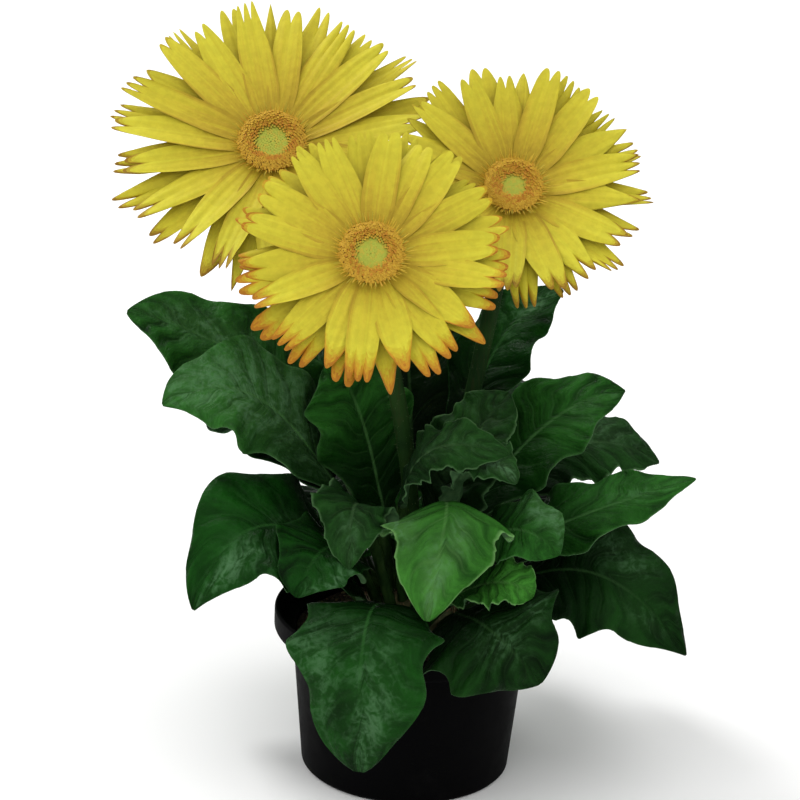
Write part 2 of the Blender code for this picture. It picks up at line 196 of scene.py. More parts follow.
LEAVES = [Leaf(*row) for row in (
    # low leaves, that spread over the rim
    ("low_front", 24, 254, (-13, -44, 94), (-20, -92, 106), (-16, -76, 30), 25, 0.18, 0.56, 0, 0.1, 0.2),
    ("low_front_right", 24, 312, (20, -38, 84), (30, -70, 88), (49, -63, 63), 26, 0.2, 0.5, 30, 0.05, 0.9),
    ("low_right", 24, 350, (50, -10, 92), (73, -14, 102), (106, -18, 57), 24, 0.24, 0.45, 40, 0.08, 0.4),
    ("low_left", 26, 204, (-28, -24, 108), (-68, -34, 130), (-81, -40, 76), 26, 0.05, 0.46, -34, 0.06, 0),
    ("low_back_right", 24, 50, (34, 40, 94), (62, 72, 112), (74, 86, 52), 28, 0.28, 0.5, 0, 0.1, 0.5),
    ("low_back", 24, 88, (2, 46, 100), (5, 92, 130), (4, 118, 78), 26, 0.26, 0.5, 0, 0.1, 0.1),
    ("low_back_left", 24, 126, (-30, 42, 92), (-50, 82, 106), (-58, 94, 46), 28, 0.28, 0.5, 0, 0.1, 0.7),
    ("low_far_left", 24, 166, (-42, 14, 86), (-72, 26, 98), (-84, 30, 50), 22, 0.3, 0.5, 0, 0.1, 0.7),
    ("low_far_right", 24, 16, (46, 14, 84), (80, 24, 92), (94, 28, 44), 20, 0.32, 0.5, 0, 0.1, 0.2),
    # middle leaves
    ("mid_front", 44, 276, (10, -24, 116), (17, -50, 158), (6, -69, 88), 21, 0.34, 0.52, 4, -0.2, 0.3),
    ("mid_right", 44, 2, (40, -8, 102), (70, -16, 115), (106, -6, 125), 15, 0.2, 0.45, 28, 0.16, 0.6),
    ("mid_right_back", 44, 24, (34, 14, 119), (60, 30, 138), (95, 34, 116), 19, 0.3, 0.5, 24, 0.12, 0.3),
    ("mid_left", 44, 184, (-33, -8, 132), (-62, -10, 173), (-96, -15, 148), 22, 0.28, 0.47, -38, 0.1, 0.2),
    ("mid_back_right", 44, 66, (18, 38, 112), (46, 62, 146), (64, 92, 118), 28, 0.26, 0.5, 0, 0.14, 0.8),
    ("mid_back_left", 44, 108, (-12, 41, 114), (-21, 76, 151), (-31, 107, 123), 25, 0.26, 0.5, 0, 0.14, 0.3),
    ("mid_far_left", 44, 152, (-32, 20, 108), (-56, 41, 137), (-83, 60, 117), 23, 0.34, 0.52, 0, 0.14, 0.5),
    # upper leaves
    ("top_right", 60, 334, (22, -4, 118), (50, 0, 154), (78, 8, 154), 18, 0.26, 0.45, 34, 0.14, 0.1),
    ("top_back_right", 60, 36, (16, 18, 128), (21, 32, 172), (54, 44, 182), 15, 0.34, 0.5, 16, 0.16, 0.6),
    ("top_left", 60, 172, (-24, 18, 128), (-68, 38, 161), (-115, 36, 168), 22, 0.28, 0.5, -30, 0.12, 0.4),
    ("top_back", 60, 94, (-1, 22, 126), (-6, 48, 172), (-12, 80, 172), 23, 0.32, 0.5, 0, 0.18, 0.2),
    ("top_far_back", 60, 134, (-16, 22, 112), (-38, 66, 151), (-60, 90, 152), 20, 0.3, 0.5, 0, 0.18, 0.7),
    # young leaves among them
    ("inner_left", 60, 214, (-12, -3, 112), (-21, 6, 149), (-35, 10, 161), 20, 0.27, 0.52, -28, 0.1, 0.5),
    ("inner_right", 60, 294, (8, -8, 108), (18, -8, 138), (34, 0, 154), 18, 0.26, 0.5, 30, 0.1, 0.2),
    ("young_front", 60, 252, (-6, -28, 114), (-12, -40, 158), (34, -36, 142), 12, 0.38, 0.5, 38, 0.1, 0.5),
    ("young_right", 44, 306, (12, -15, 116), (17, -29, 153), (37, -42, 133), 11, 0.34, 0.5, 20, 0.16, 0.6),
    ("young_left", 44, 240, (-18, -22, 112), (-25, -34, 140), (-23, -51, 100), 14, 0.3, 0.5, -14, 0.18, 0.2),
    ("mid_front_left", 44, 212, (-24, -24, 102), (-34, -44, 116), (-42, -56, 90), 17, 0.3, 0.5, -26, 0.1, 0.2),
    ("mid_front_right", 44, 336, (20, -18, 104), (38, -38, 123), (54, -43, 106), 15, 0.3, 0.5, 35, 0.2, 0.2),
    ("young_low", 24, 284, (14, -34, 86), (34, -50, 104), (45, -48, 91), 11, 0.3, 0.5, 30, 0.2, 0.2),
)]

# For each tone, how strongly its leaves' margins are toothed and crinkled and which leaves take it, then
# the tone and the strength of all others
LOOKS = {
    "young": (1.2, ["mid_front", "young_low"]),
    "fresh": (
        0.45,
        ["mid_left", "mid_right", "top_right", "top_left", "inner_left", "low_back", "mid_front_right"],
    ),
    # The dark tone is painted shade, for low and back leaves that lie in shade
    "dark": (0.35, ["low_right", "low_front_right", "low_far_left", "low_far_right", "top_back"]),
    "downy": (1.4, ["young_front", "young_left", "young_right", "inner_right", "mid_right_back"]),
}
REST = ("deep", 0.35)

# How far the margins of some leaves arch down, as a share of their half width
ARCH = {"mid_front": 0.28, "low_front": 0.12}

# Small leaves in the heart of the plant: lift and angle on the crown, tip and half width
HEART = (
    (84, 80, (-8, 17, 113), 8.0),
    (58, 188, (-40, 12, 99), 8.5),
    (72, 204, (-19, 2, 101), 10.0),
    (72, 336, (15, -4, 100), 7.0),
    (74, 64, (12, 15, 106), 7.0),
    (68, 296, (5, -17, 98), 6.5),
)

# Places where a blade takes a painted milky highlight: share along it, share across it, reach and strength.
# They reach further across.
HIGHLIGHT_WIDE = 1.8
PAINTED_HIGHLIGHTS = {
    "mid_left": ((0.55, 0.32, 0.24, 1.0), (0.6, -0.2, 0.6, 0.9)),
    "low_left": ((0.80, 0.45, 0.20, 0.9), (0.45, -0.1, 0.12, 0.2)),
    "low_front": (
        (0.68, -0.7, 0.25, 0.6), (0.86, 0.2, 0.3, 0.65), (0.5, -0.1, 0.12, 0.5), (0.6, 0.35, 0.15, 0.4),
    ),
    "low_front_right": ((0.6, 0.0, 0.2, 0.5), (0.6, 0.65, 0.12, 0.6)),
    "low_right": ((0.55, 0.5, 0.2, 0.4), (0.8, -0.3, 0.15, 0.3)),
    "mid_front": ((0.6, -0.85, 0.2, 0.8), (0.92, 0.0, 0.2, 0.8), (0.7, 0.3, 0.14, 0.6)),
    "mid_right": ((0.75, 0.0, 0.25, 0.4),),
    "mid_front_right": ((0.7, 0.8, 0.25, 1.0),),
    "mid_front_left": ((0.8, 0.8, 0.3, 0.8),),
    "young_right": ((0.85, 0.0, 0.35, 1.0),),
    "young_front": ((0.7, 0.0, 0.4, 0.3),),
    "young_left": ((0.9, 0.0, 0.3, 0.4),),
    "inner_right": ((0.6, 0.0, 0.4, 0.35),),
    "top_left": ((0.72, -0.2, 0.22, 0.9), (0.5, 0.35, 0.16, 0.7)),
    "top_right": ((0.8, -0.3, 0.2, 0.4),),
    "top_back_right": ((0.82, 0.0, 0.25, 0.9),),
    "mid_right_back": ((0.6, 0.3, 0.3, 0.5),),
}

# Camera, fitted to the photograph's pot and leaves; its picture is 800 pixels square
EYE = (0.0, -1080.4, 522.3)
AIM = (-7.38, 0.0, 149.14)
CAMERA_ROLL = 0.04094
FOCAL_PIXELS = 3027.9
PICTURE = 800.0
SENSOR = 36.0

# Floor's half width and the middle of the plant in metres, and the strength of the white surround
FLOOR_REACH = 9.0
LAMP_AIM = (0.0, 0.0, 0.13)
SURROUND = 0.34


# Small helpers


def unit(vectors):
    """Each vector of the last axis at length 1."""
    return vectors / np.linalg.norm(vectors, axis=-1, keepdims=True)


def smooth_step(low, high, value):
    """A smooth rise from 0 at low to 1 at high. Where low is above high, it falls with the value."""
    share = np.clip((value - low) / (high - low), 0.0, 1.0)
    return share * share * (3.0 - 2.0 * share)


def level_way(angle):
    """The level direction at an angle."""
    return np.array([math.cos(angle), math.sin(angle), 0.0])


class Body:
    """Points and faces of one or more closed shapes, with each face's place in the list of materials. A leaf
    blade's extra holds five more values for each point."""

    def __init__(self, points, faces, coats):
        self.points = np.asarray(points, float)
        self.faces = faces
        self.coats = list(coats)
        self.extra = None


def joined(bodies):
    """One body of several, whose shapes stay apart."""
    points = []
    faces = []
    coats = []
    start = 0
    for body in bodies:
        points.append(body.points)
        faces += [tuple(index + start for index in face) for face in body.faces]
        coats += body.coats
        start += len(body.points)
    return Body(np.concatenate(points), faces, coats)


def strip_faces(levels, count):
    """Quads between rings of count points each, wrapping round, and each quad's level and side."""
    level, side = np.meshgrid(np.arange(levels - 1), np.arange(count), indexing="ij")
    after = (side + 1) % count
    low = level * count
    quads = np.stack([low + side, low + after, low + count + after, low + count + side], -1)
    return [tuple(quad) for quad in quads.reshape(-1, 4).tolist()], level.ravel(), side.ravel()


def tube(rings, coat_number=0):
    """A closed body through rings of points, an array of ring by point by xyz."""
    levels, count, _ = rings.shape
    faces, _, _ = strip_faces(levels, count)
    faces.append(tuple(range(count - 1, -1, -1)))
    faces.append(tuple(range((levels - 1) * count, levels * count)))
    return Body(rings.reshape(-1, 3), faces, [coat_number] * len(faces))


def skinned(top, under, deal):
    """A thin closed body from an upper and a lower sheet of points. deal gives each face's material from its
    station, its column and whether it is on the upper side."""
    levels, columns, _ = top.shape
    rings = np.concatenate([top[:, ::-1], under], axis=1)
    faces, level, side = strip_faces(levels, 2 * columns)
    column = np.where(side < columns, columns - 2 - side, side - columns)
    coats = deal(level, np.clip(column, 0, columns - 2), side < columns - 1).tolist()
    last = (levels - 1) * 2 * columns
    for step in range(columns - 1):
        ring = (step, step + 1, 2 * columns - 2 - step, 2 * columns - 1 - step)
        faces.append(ring[::-1])
        faces.append(tuple(last + index for index in ring))
        coats += [coats[step], coats[last - 2 * columns + step]]
    return Body(rings.reshape(-1, 3), faces, coats)


def ring(centre, side, other, radius, turn):
    """Points round a centre, in the plane of two directions. radius is one value, or one for each angle."""
    radii = np.broadcast_to(radius, len(turn))
    return [centre + (side * math.cos(a) + other * math.sin(a)) * r for r, a in zip(radii, turn)]


def lathe_rings(profile, sides):
    """Rings of points for a profile of radius and height, turned round Z."""
    turn = math.tau * np.arange(sides) / sides
    return np.array([[(r * math.cos(a), r * math.sin(a), z) for a in turn] for r, z in profile])


def lathe(profile, sides, coat_number=0):
    return tube(lathe_rings(profile, sides), coat_number)


def rounded(profile, steps=6, reach=0.6):
    """A profile with each corner after the first and before the last turned into a small curve."""
    points = [np.asarray(pair, float) for pair in profile]
    made = [tuple(points[0])]
    for before, corner, after in zip(points, points[1:], points[2:]):
        back = before - corner
        ahead = after - corner
        cut = min(reach, np.linalg.norm(back) * CORNER_SHARE, np.linalg.norm(ahead) * CORNER_SHARE)
        start = corner + unit(back) * cut
        end = corner + unit(ahead) * cut
        for step in range(steps + 1):
            t = step / steps
            made.append(tuple((1 - t) ** 2 * start + 2 * t * (1 - t) * corner + t * t * end))
    made.append(tuple(points[-1]))
    return made


def new_mesh(name, points, faces):
    mesh = bpy.data.meshes.new(name)
    mesh.from_pydata(points, [], faces)
    return mesh


def add_object(name, data):
    """An object in the scene."""
    obj = bpy.data.objects.new(name, data)
    bpy.context.scene.collection.objects.link(obj)
    return obj


def show(name, body, coats, nodes, sharp):
    """A shown piece of the object that stands for CAD nodes. sharp is the angle from which an edge shows."""
    mesh = new_mesh(name, (body.points * MM).tolist(), body.faces)
    for material in coats:
        mesh.materials.append(material)
    mesh.polygons.foreach_set("material_index", body.coats)
    mesh.polygons.foreach_set("use_smooth", [True] * len(mesh.polygons))
    if body.extra is not None:
        facts = np.asarray(body.extra, np.float32)
        values = mesh.attributes.new("blade", "FLOAT_VECTOR", "POINT")
        values.data.foreach_set("vector", facts[:, :3].ravel())
        for column, title in ((3, "vein"), (4, "painted_highlight")):
            values = mesh.attributes.new(title, "FLOAT", "POINT")
            values.data.foreach_set("value", facts[:, column].copy())
    mesh.set_sharp_from_angle(angle=math.radians(sharp))
    obj = add_object(name, mesh)
    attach(obj, BODY)
    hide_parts(*nodes)
    return obj


# Material helpers


def put(tree, kind, inputs, **settings):
    """A shader node with its settings. inputs maps a socket's name or number to a value or to another's
    output."""
    made = tree.nodes.new("ShaderNode" + kind)
    for name, value in settings.items():
        setattr(made, name, value)
    for key, value in inputs.items():
        if isinstance(value, bpy.types.NodeSocket):
            tree.links.new(value, made.inputs[key])
        else:
            made.inputs[key].default_value = value
    return made


def maths(tree, operation, *values):
    return put(tree, "Math", dict(enumerate(values)), operation=operation).outputs[0]


def blend(tree, share, low, high):
    """A colour between two colours or outputs."""
    low, high = [end if isinstance(end, bpy.types.NodeSocket) else (*end, 1.0) for end in (low, high)]
    return put(tree, "Mix", {0: share, 6: low, 7: high}, data_type="RGBA").outputs[2]


def times(tree, *values):
    return maths(tree, "MULTIPLY", *values)


def weighted(tree, *parts):
    """The sum of outputs, each times its weight."""
    total, *others = [times(tree, value, weight) for value, weight in parts]
    for other in others:
        total = maths(tree, "ADD", total, other)
    return total


def fact(tree, title, output="Fac"):
    """A value that the mesh holds for each point."""
    return put(tree, "Attribute", {}, attribute_name=title).outputs[output]


def span(tree, value, low, high, to_low=0.0, to_high=1.0):
    """A smooth change from to_low to to_high while the value goes from low to high."""
    inputs = {"Value": value, "From Min": low, "From Max": high, "To Min": to_low, "To Max": to_high}
    return put(tree, "MapRange", inputs, interpolation_type="SMOOTHSTEP").outputs["Result"]


def noise(tree, scale, detail=3.0, roughness=0.55, where=None, stretch=None, distortion=0.0):
    """Noise from 0 to 1, by the place on the object in metres unless another is given."""
    where = where or put(tree, "TexCoord", {}).outputs["Object"]
    if stretch:
        where = put(tree, "Mapping", {"Vector": where, "Scale": stretch}).outputs[0]
    inputs = {"Vector": where, "Scale": scale, "Detail": detail, "Roughness": roughness}
    return put(tree, "TexNoise", {**inputs, "Distortion": distortion}).outputs[0]


def coat(name, colour, roughness, specular):
    """A material and its node tree and shader, with the values that are the same all over it."""
    made = bpy.data.materials.new(name)
    made.use_nodes = True
    shader = made.node_tree.nodes["Principled BSDF"]
    shader.inputs["Base Color"].default_value = (*colour, 1.0)
    shader.inputs["Roughness"].default_value = roughness
    shader.inputs["Specular IOR Level"].default_value = specular
    made.diffuse_color = (*colour, 1.0)
    return made, made.node_tree, shader


def roughen(tree, shader, height, strength, distance):
    """A relief on the shader. distance is its height in millimetres."""
    bump = put(tree, "Bump", {"Height": height, "Strength": strength, "Distance": distance * MM})
    tree.links.new(bump.outputs[0], shader.inputs["Normal"])


def speckled(name, colour, other, scale, roughness, bump, specular=0.5):
    """A matte material that wanders between two colours, with a fine relief."""
    made, tree, shader = coat(name, colour, roughness, specular)
    mottle = span(tree, noise(tree, scale), 0.35, 0.65)
    tree.links.new(blend(tree, mottle, colour, other), shader.inputs["Base Color"])
    roughen(tree, shader, noise(tree, scale * 4), bump, 0.5)
    return made


# Leaf materials: colours of the blade in its hollows, darkened there as painted shade, on its swells,
# lightened there as painted light, and on its veins, its roughness, and how pale its margin and its midrib are


TONES = {
    "young": ((0.006, 0.040, 0.004), (0.047, 0.205, 0.024), (0.150, 0.330, 0.100), 0.42, 0.9, 0.25),
    "fresh": ((0.0018, 0.014, 0.0015), (0.023, 0.125, 0.015), (0.065, 0.180, 0.050), 0.34, 0.25, 0.55),
    "deep": ((0.0006, 0.005, 0.0006), (0.0072, 0.058, 0.0054), (0.027, 0.108, 0.022), 0.34, 0.2, 0.55),
    # dark: the deep green darkened further, as painted shade for leaves that lie in shade
    "dark": ((0.0008, 0.006, 0.0008), (0.007, 0.040, 0.005), (0.026, 0.070, 0.020), 0.38, 0.15, 0.55),
    "downy": ((0.0014, 0.009, 0.0014), (0.014, 0.064, 0.010), (0.066, 0.140, 0.054), 0.50, 0.7, 0.55),
}
# Colour of the painted milky highlights on the blades
MILKY_HIGHLIGHT = (0.085, 0.190, 0.088)
UNDERSIDE = ((0.030, 0.085, 0.028), (0.055, 0.125, 0.045))


def leaf_coat(tone):
    """Upper side of a blade: painted light on its swells and painted shade in its hollows between sunken veins
    and in its folds, darker towards its foot as painted shade, painted milky highlights, a thin pale midrib
    and a pale, hairy margin."""
    hollow_shade, swell, pale, roughness, hairy, pale_rib = TONES[tone]
    made, tree, shader = coat("leaf_" + tone, swell, roughness, specular=0.035)
    along, across, wide = put(tree, "SeparateXYZ", {0: fact(tree, "blade", "Vector")}).outputs
    turn = fact(tree, "vein")
    painted_highlight = fact(tree, "painted_highlight")
    out = maths(tree, "ABSOLUTE", across)
    near_vein = maths(tree, "PINGPONG", maths(tree, "ADD", turn, VEIN_START), 0.5)
    vein = times(tree, span(tree, near_vein, 0.01, 0.09, 1.0, 0.0), span(tree, out, 0.45, 0.9, 0.5, 0.0))
    rib = span(tree, maths(tree, "ABSOLUTE", wide), 0.2, 0.9, 1.0, 0.0)
    rib = times(tree, rib, span(tree, along, 0.35, 0.95, pale_rib, 0.04))
    pleat_at = put(tree, "CombineXYZ", {0: times(tree, turn, 2.4), 1: times(tree, across, 1.5), 2: along})
    pleats = noise(tree, 1.0, 5.0, 0.6, where=pleat_at.outputs[0])
    # Painted light and shade: darkest in the hollows by the sunken veins and in the folds of the pleats,
    # lightest on the swells; the large patches are partly random tone and partly painted shade
    patches = span(tree, noise(tree, 22.0, 5.0, 0.62), 0.38, 0.64)
    between = span(tree, near_vein, 0.03, 0.40)
    painted_light_and_tone = weighted(tree, (between, 0.20), (patches, 0.42), (span(tree, pleats, 0.36, 0.64), 0.38))
    # Painted shade: each blade darkens towards its foot, where the leaves above shade it
    painted_light_and_tone = times(tree, painted_light_and_tone, span(tree, along, 0.15, 0.75, 0.04, 1.0))
    colour = blend(tree, painted_light_and_tone, hollow_shade, swell)
    # Painted highlights: where a blade gleams it turns paler and takes milky patches
    colour = blend(tree, times(tree, painted_highlight, 0.28), colour, pale)
    curls = noise(tree, 300.0, distortion=1.0)
    highlight_flakes = weighted(tree, (curls, 0.65), (pleats, 0.6), (painted_highlight, 0.12))
    milky_highlight = times(tree, times(tree, span(tree, highlight_flakes, 0.60, 0.88), painted_highlight), 0.75)
    colour = blend(tree, milky_highlight, colour, MILKY_HIGHLIGHT)
    edge = times(tree, span(tree, out, 0.93, 1.0), hairy)
    for share in (times(tree, vein, 0.2), rib, edge):
        colour = blend(tree, share, colour, pale)
    tree.links.new(colour, shader.inputs["Base Color"])
    gloss = span(tree, noise(tree, 240.0, 2.0), 0.3, 0.7, roughness - 0.10, roughness + 0.12)
    tree.links.new(gloss, shader.inputs["Roughness"])
    height = weighted(tree, (vein, -0.8), (pleats, 2.5), (noise(tree, 260.0, 4.0), 1.4))
    roughen(tree, shader, height, 0.7, 0.9)
    return made


def petiole_coat():
    made, tree, shader = coat("leaf_petiole", (0.016, 0.045, 0.009), 0.5, 0.1)
    stripes = span(tree, noise(tree, 420.0, stretch=(1.0, 1.0, 0.12)), 0.35, 0.65)
    colour = blend(tree, stripes, (0.010, 0.034, 0.006), (0.026, 0.064, 0.013))
    tree.links.new(colour, shader.inputs["Base Color"])
    roughen(tree, shader, noise(tree, 1500.0), 0.3, 0.4)
    return made


# Leaves


def bezier(handles, t):
    """Places and unit slopes at the shares t of a cubic curve."""
    a, b, c, d = (np.asarray(handle, float) for handle in handles)
    t = np.asarray(t, float)[:, None]
    place = (1 - t) ** 3 * a + 3 * t * (1 - t) ** 2 * b + 3 * t * t * (1 - t) * c + t**3 * d
    slope = 3 * ((1 - t) ** 2 * (b - a) + 2 * t * (1 - t) * (c - b) + t * t * (d - c))
    return place, unit(slope)


def crown_seat(lift, angle):
    """The outward direction at a place on the crown, and the point just clear of it."""
    up = math.radians(lift)
    around = math.radians(angle)
    out = np.array([math.cos(up) * math.cos(around), math.cos(up) * math.sin(around), math.sin(up)])
    return out, np.array([0.0, 0.0, CROWN_Z]) + out * (CROWN_R + GAP)


def leaf_frames(leaf, t):
    """Places on the midrib, and directions of the leaf's side and upper face, at shares t of its length."""
    out, seat = crown_seat(leaf.lift, leaf.angle)
    place, along = bezier((seat, leaf.bow, leaf.shoulder, leaf.tip), t)
    along[t == 0.0] = out
    reach = np.asarray(leaf.tip, float) - seat
    level = unit(np.array([-reach[1], reach[0], 0.0]))
    side = unit(level - along * (along @ level)[:, None])
    upper = np.cross(along, side)
    roll = (np.radians(leaf.roll) * np.minimum(1.0, t * 2.0))[:, None]
    rolled = side * np.cos(roll) + upper * np.sin(roll)
    return place, rolled, np.cross(along, rolled)


def blade_half(leaf, u, s):
    """Half width at share u of the blade on side s: a narrow foot, a round end and shallow lobes."""
    inside = np.clip(u, TINY, 1.0 - TINY)
    foot = (inside / leaf.peak) ** FOOT_CURVE
    end = ((1.0 - inside) / (1.0 - leaf.peak)) ** (FOOT_CURVE * (1.0 - leaf.peak) / leaf.peak)
    lobes = 1.0 + LOBE * np.cos(math.tau * (WAVES * u + leaf.phase + LOBE_SHIFT * (s > 0)))
    return np.where(u <= 0.0, PETIOLE_W, PETIOLE_W * (1.0 - inside) + leaf.half * foot * end * lobes)


def vein_turns(leaf, u, s):
    """The place among the side veins: a whole number on each vein, and a half between two."""
    turn = VEINS * (u - VEIN_SWEEP * np.abs(s) ** VEIN_BEND) + 0.5 * (s > 0)
    turn = turn + 0.25 * np.sin(math.tau * (1.7 * u + leaf.phase) + 2.0 * s)
    return turn + 0.10 * np.sin(9.0 * s + 14.0 * u)


def blade_lift(leaf, u, s, half, turn, rough):
    """How far a blade lies above its own plane: folded, drooping and arched across, and rippled, crinkled,
    quilted between its veins and swollen along it."""
    out = np.abs(s)
    right = s > 0
    bell = np.sin(np.pi * np.clip(u, 0.0, 1.0))
    wave = np.sin(math.tau * (WAVES * u + leaf.phase) + 2.1 * right)
    crinkle = np.sin(math.tau * (2.7 * WAVES * u + 1.7 * leaf.phase) + 1.1 * right)
    lift = leaf.fold * out * half - DROOP * s * s * half + RIPPLE * s * s * wave * bell
    lift = lift + CRINKLE * rough * out**3 * crinkle * bell
    lift = lift - ARCH.get(leaf.key, 0.0) * s * s * half
    quilt = (0.5 - 0.5 * np.cos(math.tau * turn)) ** 0.8 * np.sqrt(np.clip(4 * out * (1 - out), 0.0, 1.0))
    swells = 0.5 + 0.5 * np.sin(7.0 * u + 3.0 * s + 6.0 * leaf.phase) * np.cos(5.0 * u - 4.0 * s)
    return lift + leaf.half * bell**0.5 * (QUILT * (1.0 + rough) * quilt + SWELL * swells * out)


def painted_highlight_at(leaf, u, s):
    """How strongly a blade takes a painted highlight at a share along it and a share across it."""
    painted_highlight = np.zeros(np.broadcast(u, s).shape)
    for far, aside, reach, strength in PAINTED_HIGHLIGHTS.get(leaf.key, ()):
        apart = ((u - far) / reach) ** 2 + ((s - aside) / (HIGHLIGHT_WIDE * reach)) ** 2
        painted_highlight = np.maximum(painted_highlight, strength * np.exp(-apart))
    return painted_highlight


def leaf_sheets(leaf, rough):
    """Upper and lower sheets of points, and each point's share along the blade, share across, place across,
    place among the veins and strength of painted highlight."""
    petiole = leaf.begin * np.arange(PETIOLE_STATIONS) / PETIOLE_STATIONS
    blade = leaf.begin + (1.0 - leaf.begin) * np.linspace(0.0, BLADE_END, BLADE_STATIONS)
    t = np.concatenate([petiole, blade])
    s = np.linspace(-1.0, 1.0, 2 * HALF_COLUMNS + 1)[None, :]
    place, side, upper = leaf_frames(leaf, t)
    u = ((t - leaf.begin) / (1.0 - leaf.begin))[:, None]
    inside = np.clip(u, 0.0, 1.0)
    spread = np.clip(u / NECK_SHARE, 0.0, 1.0)
    out = np.abs(s)
    half = blade_half(leaf, u, s)
    teeth = (TEETH * u + leaf.phase * 3.0 + TOOTH_SHIFT * (s > 0)) % 1.0
    tooth = TOOTH * rough * teeth**1.6 * smooth_step(0.12, 0.3, inside) * smooth_step(1.0, 0.93, inside)
    across = s * half + np.sign(s) * out**8 * tooth
    turn = vein_turns(leaf, u, s)
    lift = spread * blade_lift(leaf, u, s, half, turn, rough)
    rib = np.exp(-((across / RIB_WIDE) ** 2)) * (1.0 - 0.75 * inside)
    stalk = PETIOLE_H * np.sqrt(np.clip(1.0 - 0.94 * s * s, 0.0, 1.0))
    thin = BLADE_H * (1.0 - MARGIN_THINNER * out) * smooth_step(1.02, 0.9, inside)
    above = stalk + (thin + RIB_ABOVE * rib - stalk) * spread
    below = stalk + (thin + RIB_BELOW * rib - stalk) * spread
    middle = place[:, None] + side[:, None] * across[..., None]
    top = middle + upper[:, None] * (lift + above)[..., None]
    under = middle + upper[:, None] * (lift - below)[..., None]
    values = (u, s, across, turn + 12.0 * leaf.angle, painted_highlight_at(leaf, u, s))
    return top, under, np.stack([np.broadcast_to(value, across.shape) for value in values], -1)


def leaf_piece(leaf, tone, rough, coats):
    top, under, facts = leaf_sheets(leaf, rough)

    def deal(level, column, on_top):
        return np.where(level < PETIOLE_STATIONS, 2, np.where(on_top, 0, 1))

    body = skinned(top, under, deal)
    body.extra = np.concatenate([facts[:, ::-1], facts], axis=1).reshape(-1, facts.shape[-1])
    used = [coats[tone], coats["under"], coats["petiole"]]
    show("blade_" + leaf.key, body, used, ["leaf_" + leaf.key], 60.0)


def leaves():
    coats = {tone: leaf_coat(tone) for tone in TONES}
    coats["under"] = speckled("leaf_under", *UNDERSIDE, 300.0, 0.65, 0.4, specular=0.15)
    coats["petiole"] = petiole_coat()
    looks = {key: (tone, rough) for tone, (rough, keys) in LOOKS.items() for key in keys}
    for leaf in LEAVES:
        leaf_piece(leaf, *looks.get(leaf.key, REST), coats)


# Petals: colours from the root to the end of a petal, darker and more golden at the root, partly its own tone
# and partly painted shade, then of its orange blush, its rusty end and its back


PETAL_STOPS = [
    (0.39, 0.27, 0.020),
    (0.46, 0.34, 0.024),
    (0.51, 0.42, 0.028),
    (0.54, 0.47, 0.031),
    (0.57, 0.52, 0.037),
]
PETAL_STEPS = 3
BLUSH = [
    (0.52, 0.43, 0.026),
    (0.50, 0.36, 0.022),
    (0.49, 0.29, 0.018),
    (0.46, 0.22, 0.015),
    (0.38, 0.15, 0.012),
]
RUST = [
    (0.49, 0.42, 0.026),
    (0.45, 0.35, 0.022),
    (0.39, 0.28, 0.018),
    (0.33, 0.21, 0.014),
    (0.26, 0.14, 0.011),
]
PETAL_BACK = (0.34, 0.26, 0.034)
# How much darker a petal's side margins turn: partly their own tone, partly painted shade where the petals
# overlap
MARGIN_DARK = 7.0
HUB_COAT = 2
HUB = (
    (AXIS_R, -HUB_HALF),
    (HUB_R - 1.2, -HUB_HALF),
    (HUB_R, 0.0),
    (HUB_R - 0.8, HUB_HALF),
    (AXIS_R, HUB_HALF),
)


def petal_coats():
    """The materials, and where in their list the blush and the back begin."""
    scale = []
    for low, high in zip(PETAL_STOPS, PETAL_STOPS[1:]):
        for step in range(PETAL_STEPS):
            share = step / PETAL_STEPS
            scale.append(tuple(a + (b - a) * share for a, b in zip(low, high)))
    scale.append(PETAL_STOPS[-1])
    colours = scale + BLUSH + RUST + [PETAL_BACK]
    made = []
    for index, colour in enumerate(colours):
        other = tuple(value * 0.9 for value in colour)
        made.append(speckled(f"petal_{index:02d}", colour, other, 330.0, 0.6, 0.15, specular=0.12))
    return made, len(scale), len(colours) - 1


def bloom_axes(bloom):
    """Rows are the bloom's level side, its upward side and its axis."""
    tilt = math.radians(bloom.tilt)
    turn = math.radians(bloom.turn)
    axis = np.array([math.sin(turn) * math.cos(tilt), -math.cos(turn) * math.cos(tilt), math.sin(tilt)])
    side = unit(np.cross([0.0, 0.0, 1.0], axis))
    return np.array([side, np.cross(axis, side), axis])


def placed(body, bloom):
    body.points = body.points @ bloom_axes(bloom) + np.asarray(bloom.centre, float)
    return body


def turned(points, angle):
    c, s = math.cos(angle), math.sin(angle)
    return points @ np.array([[c, s, 0.0], [-s, c, 0.0], [0.0, 0.0, 1.0]])


def petal_rows(bloom):
    """Angle, length, width, height and lift of each petal, in both rows, from the bloom's seed."""
    rng = random.Random(f"{SEED} {bloom.key}")
    rows = []
    half = bloom.petals // 2
    for row, (high, lift, share) in enumerate(PETAL_ROWS):
        for step in range(half):
            angle = math.tau * (step + 0.5 * row) / half + rng.uniform(-0.05, 0.05)
            length = bloom.radius * share * rng.uniform(0.94, 1.03)
            width = PETAL_WIDE * rng.uniform(0.9, 1.05)
            rows.append((angle, length, width, high, bloom.droop + lift + rng.uniform(-1.2, 1.2)))
    return rows


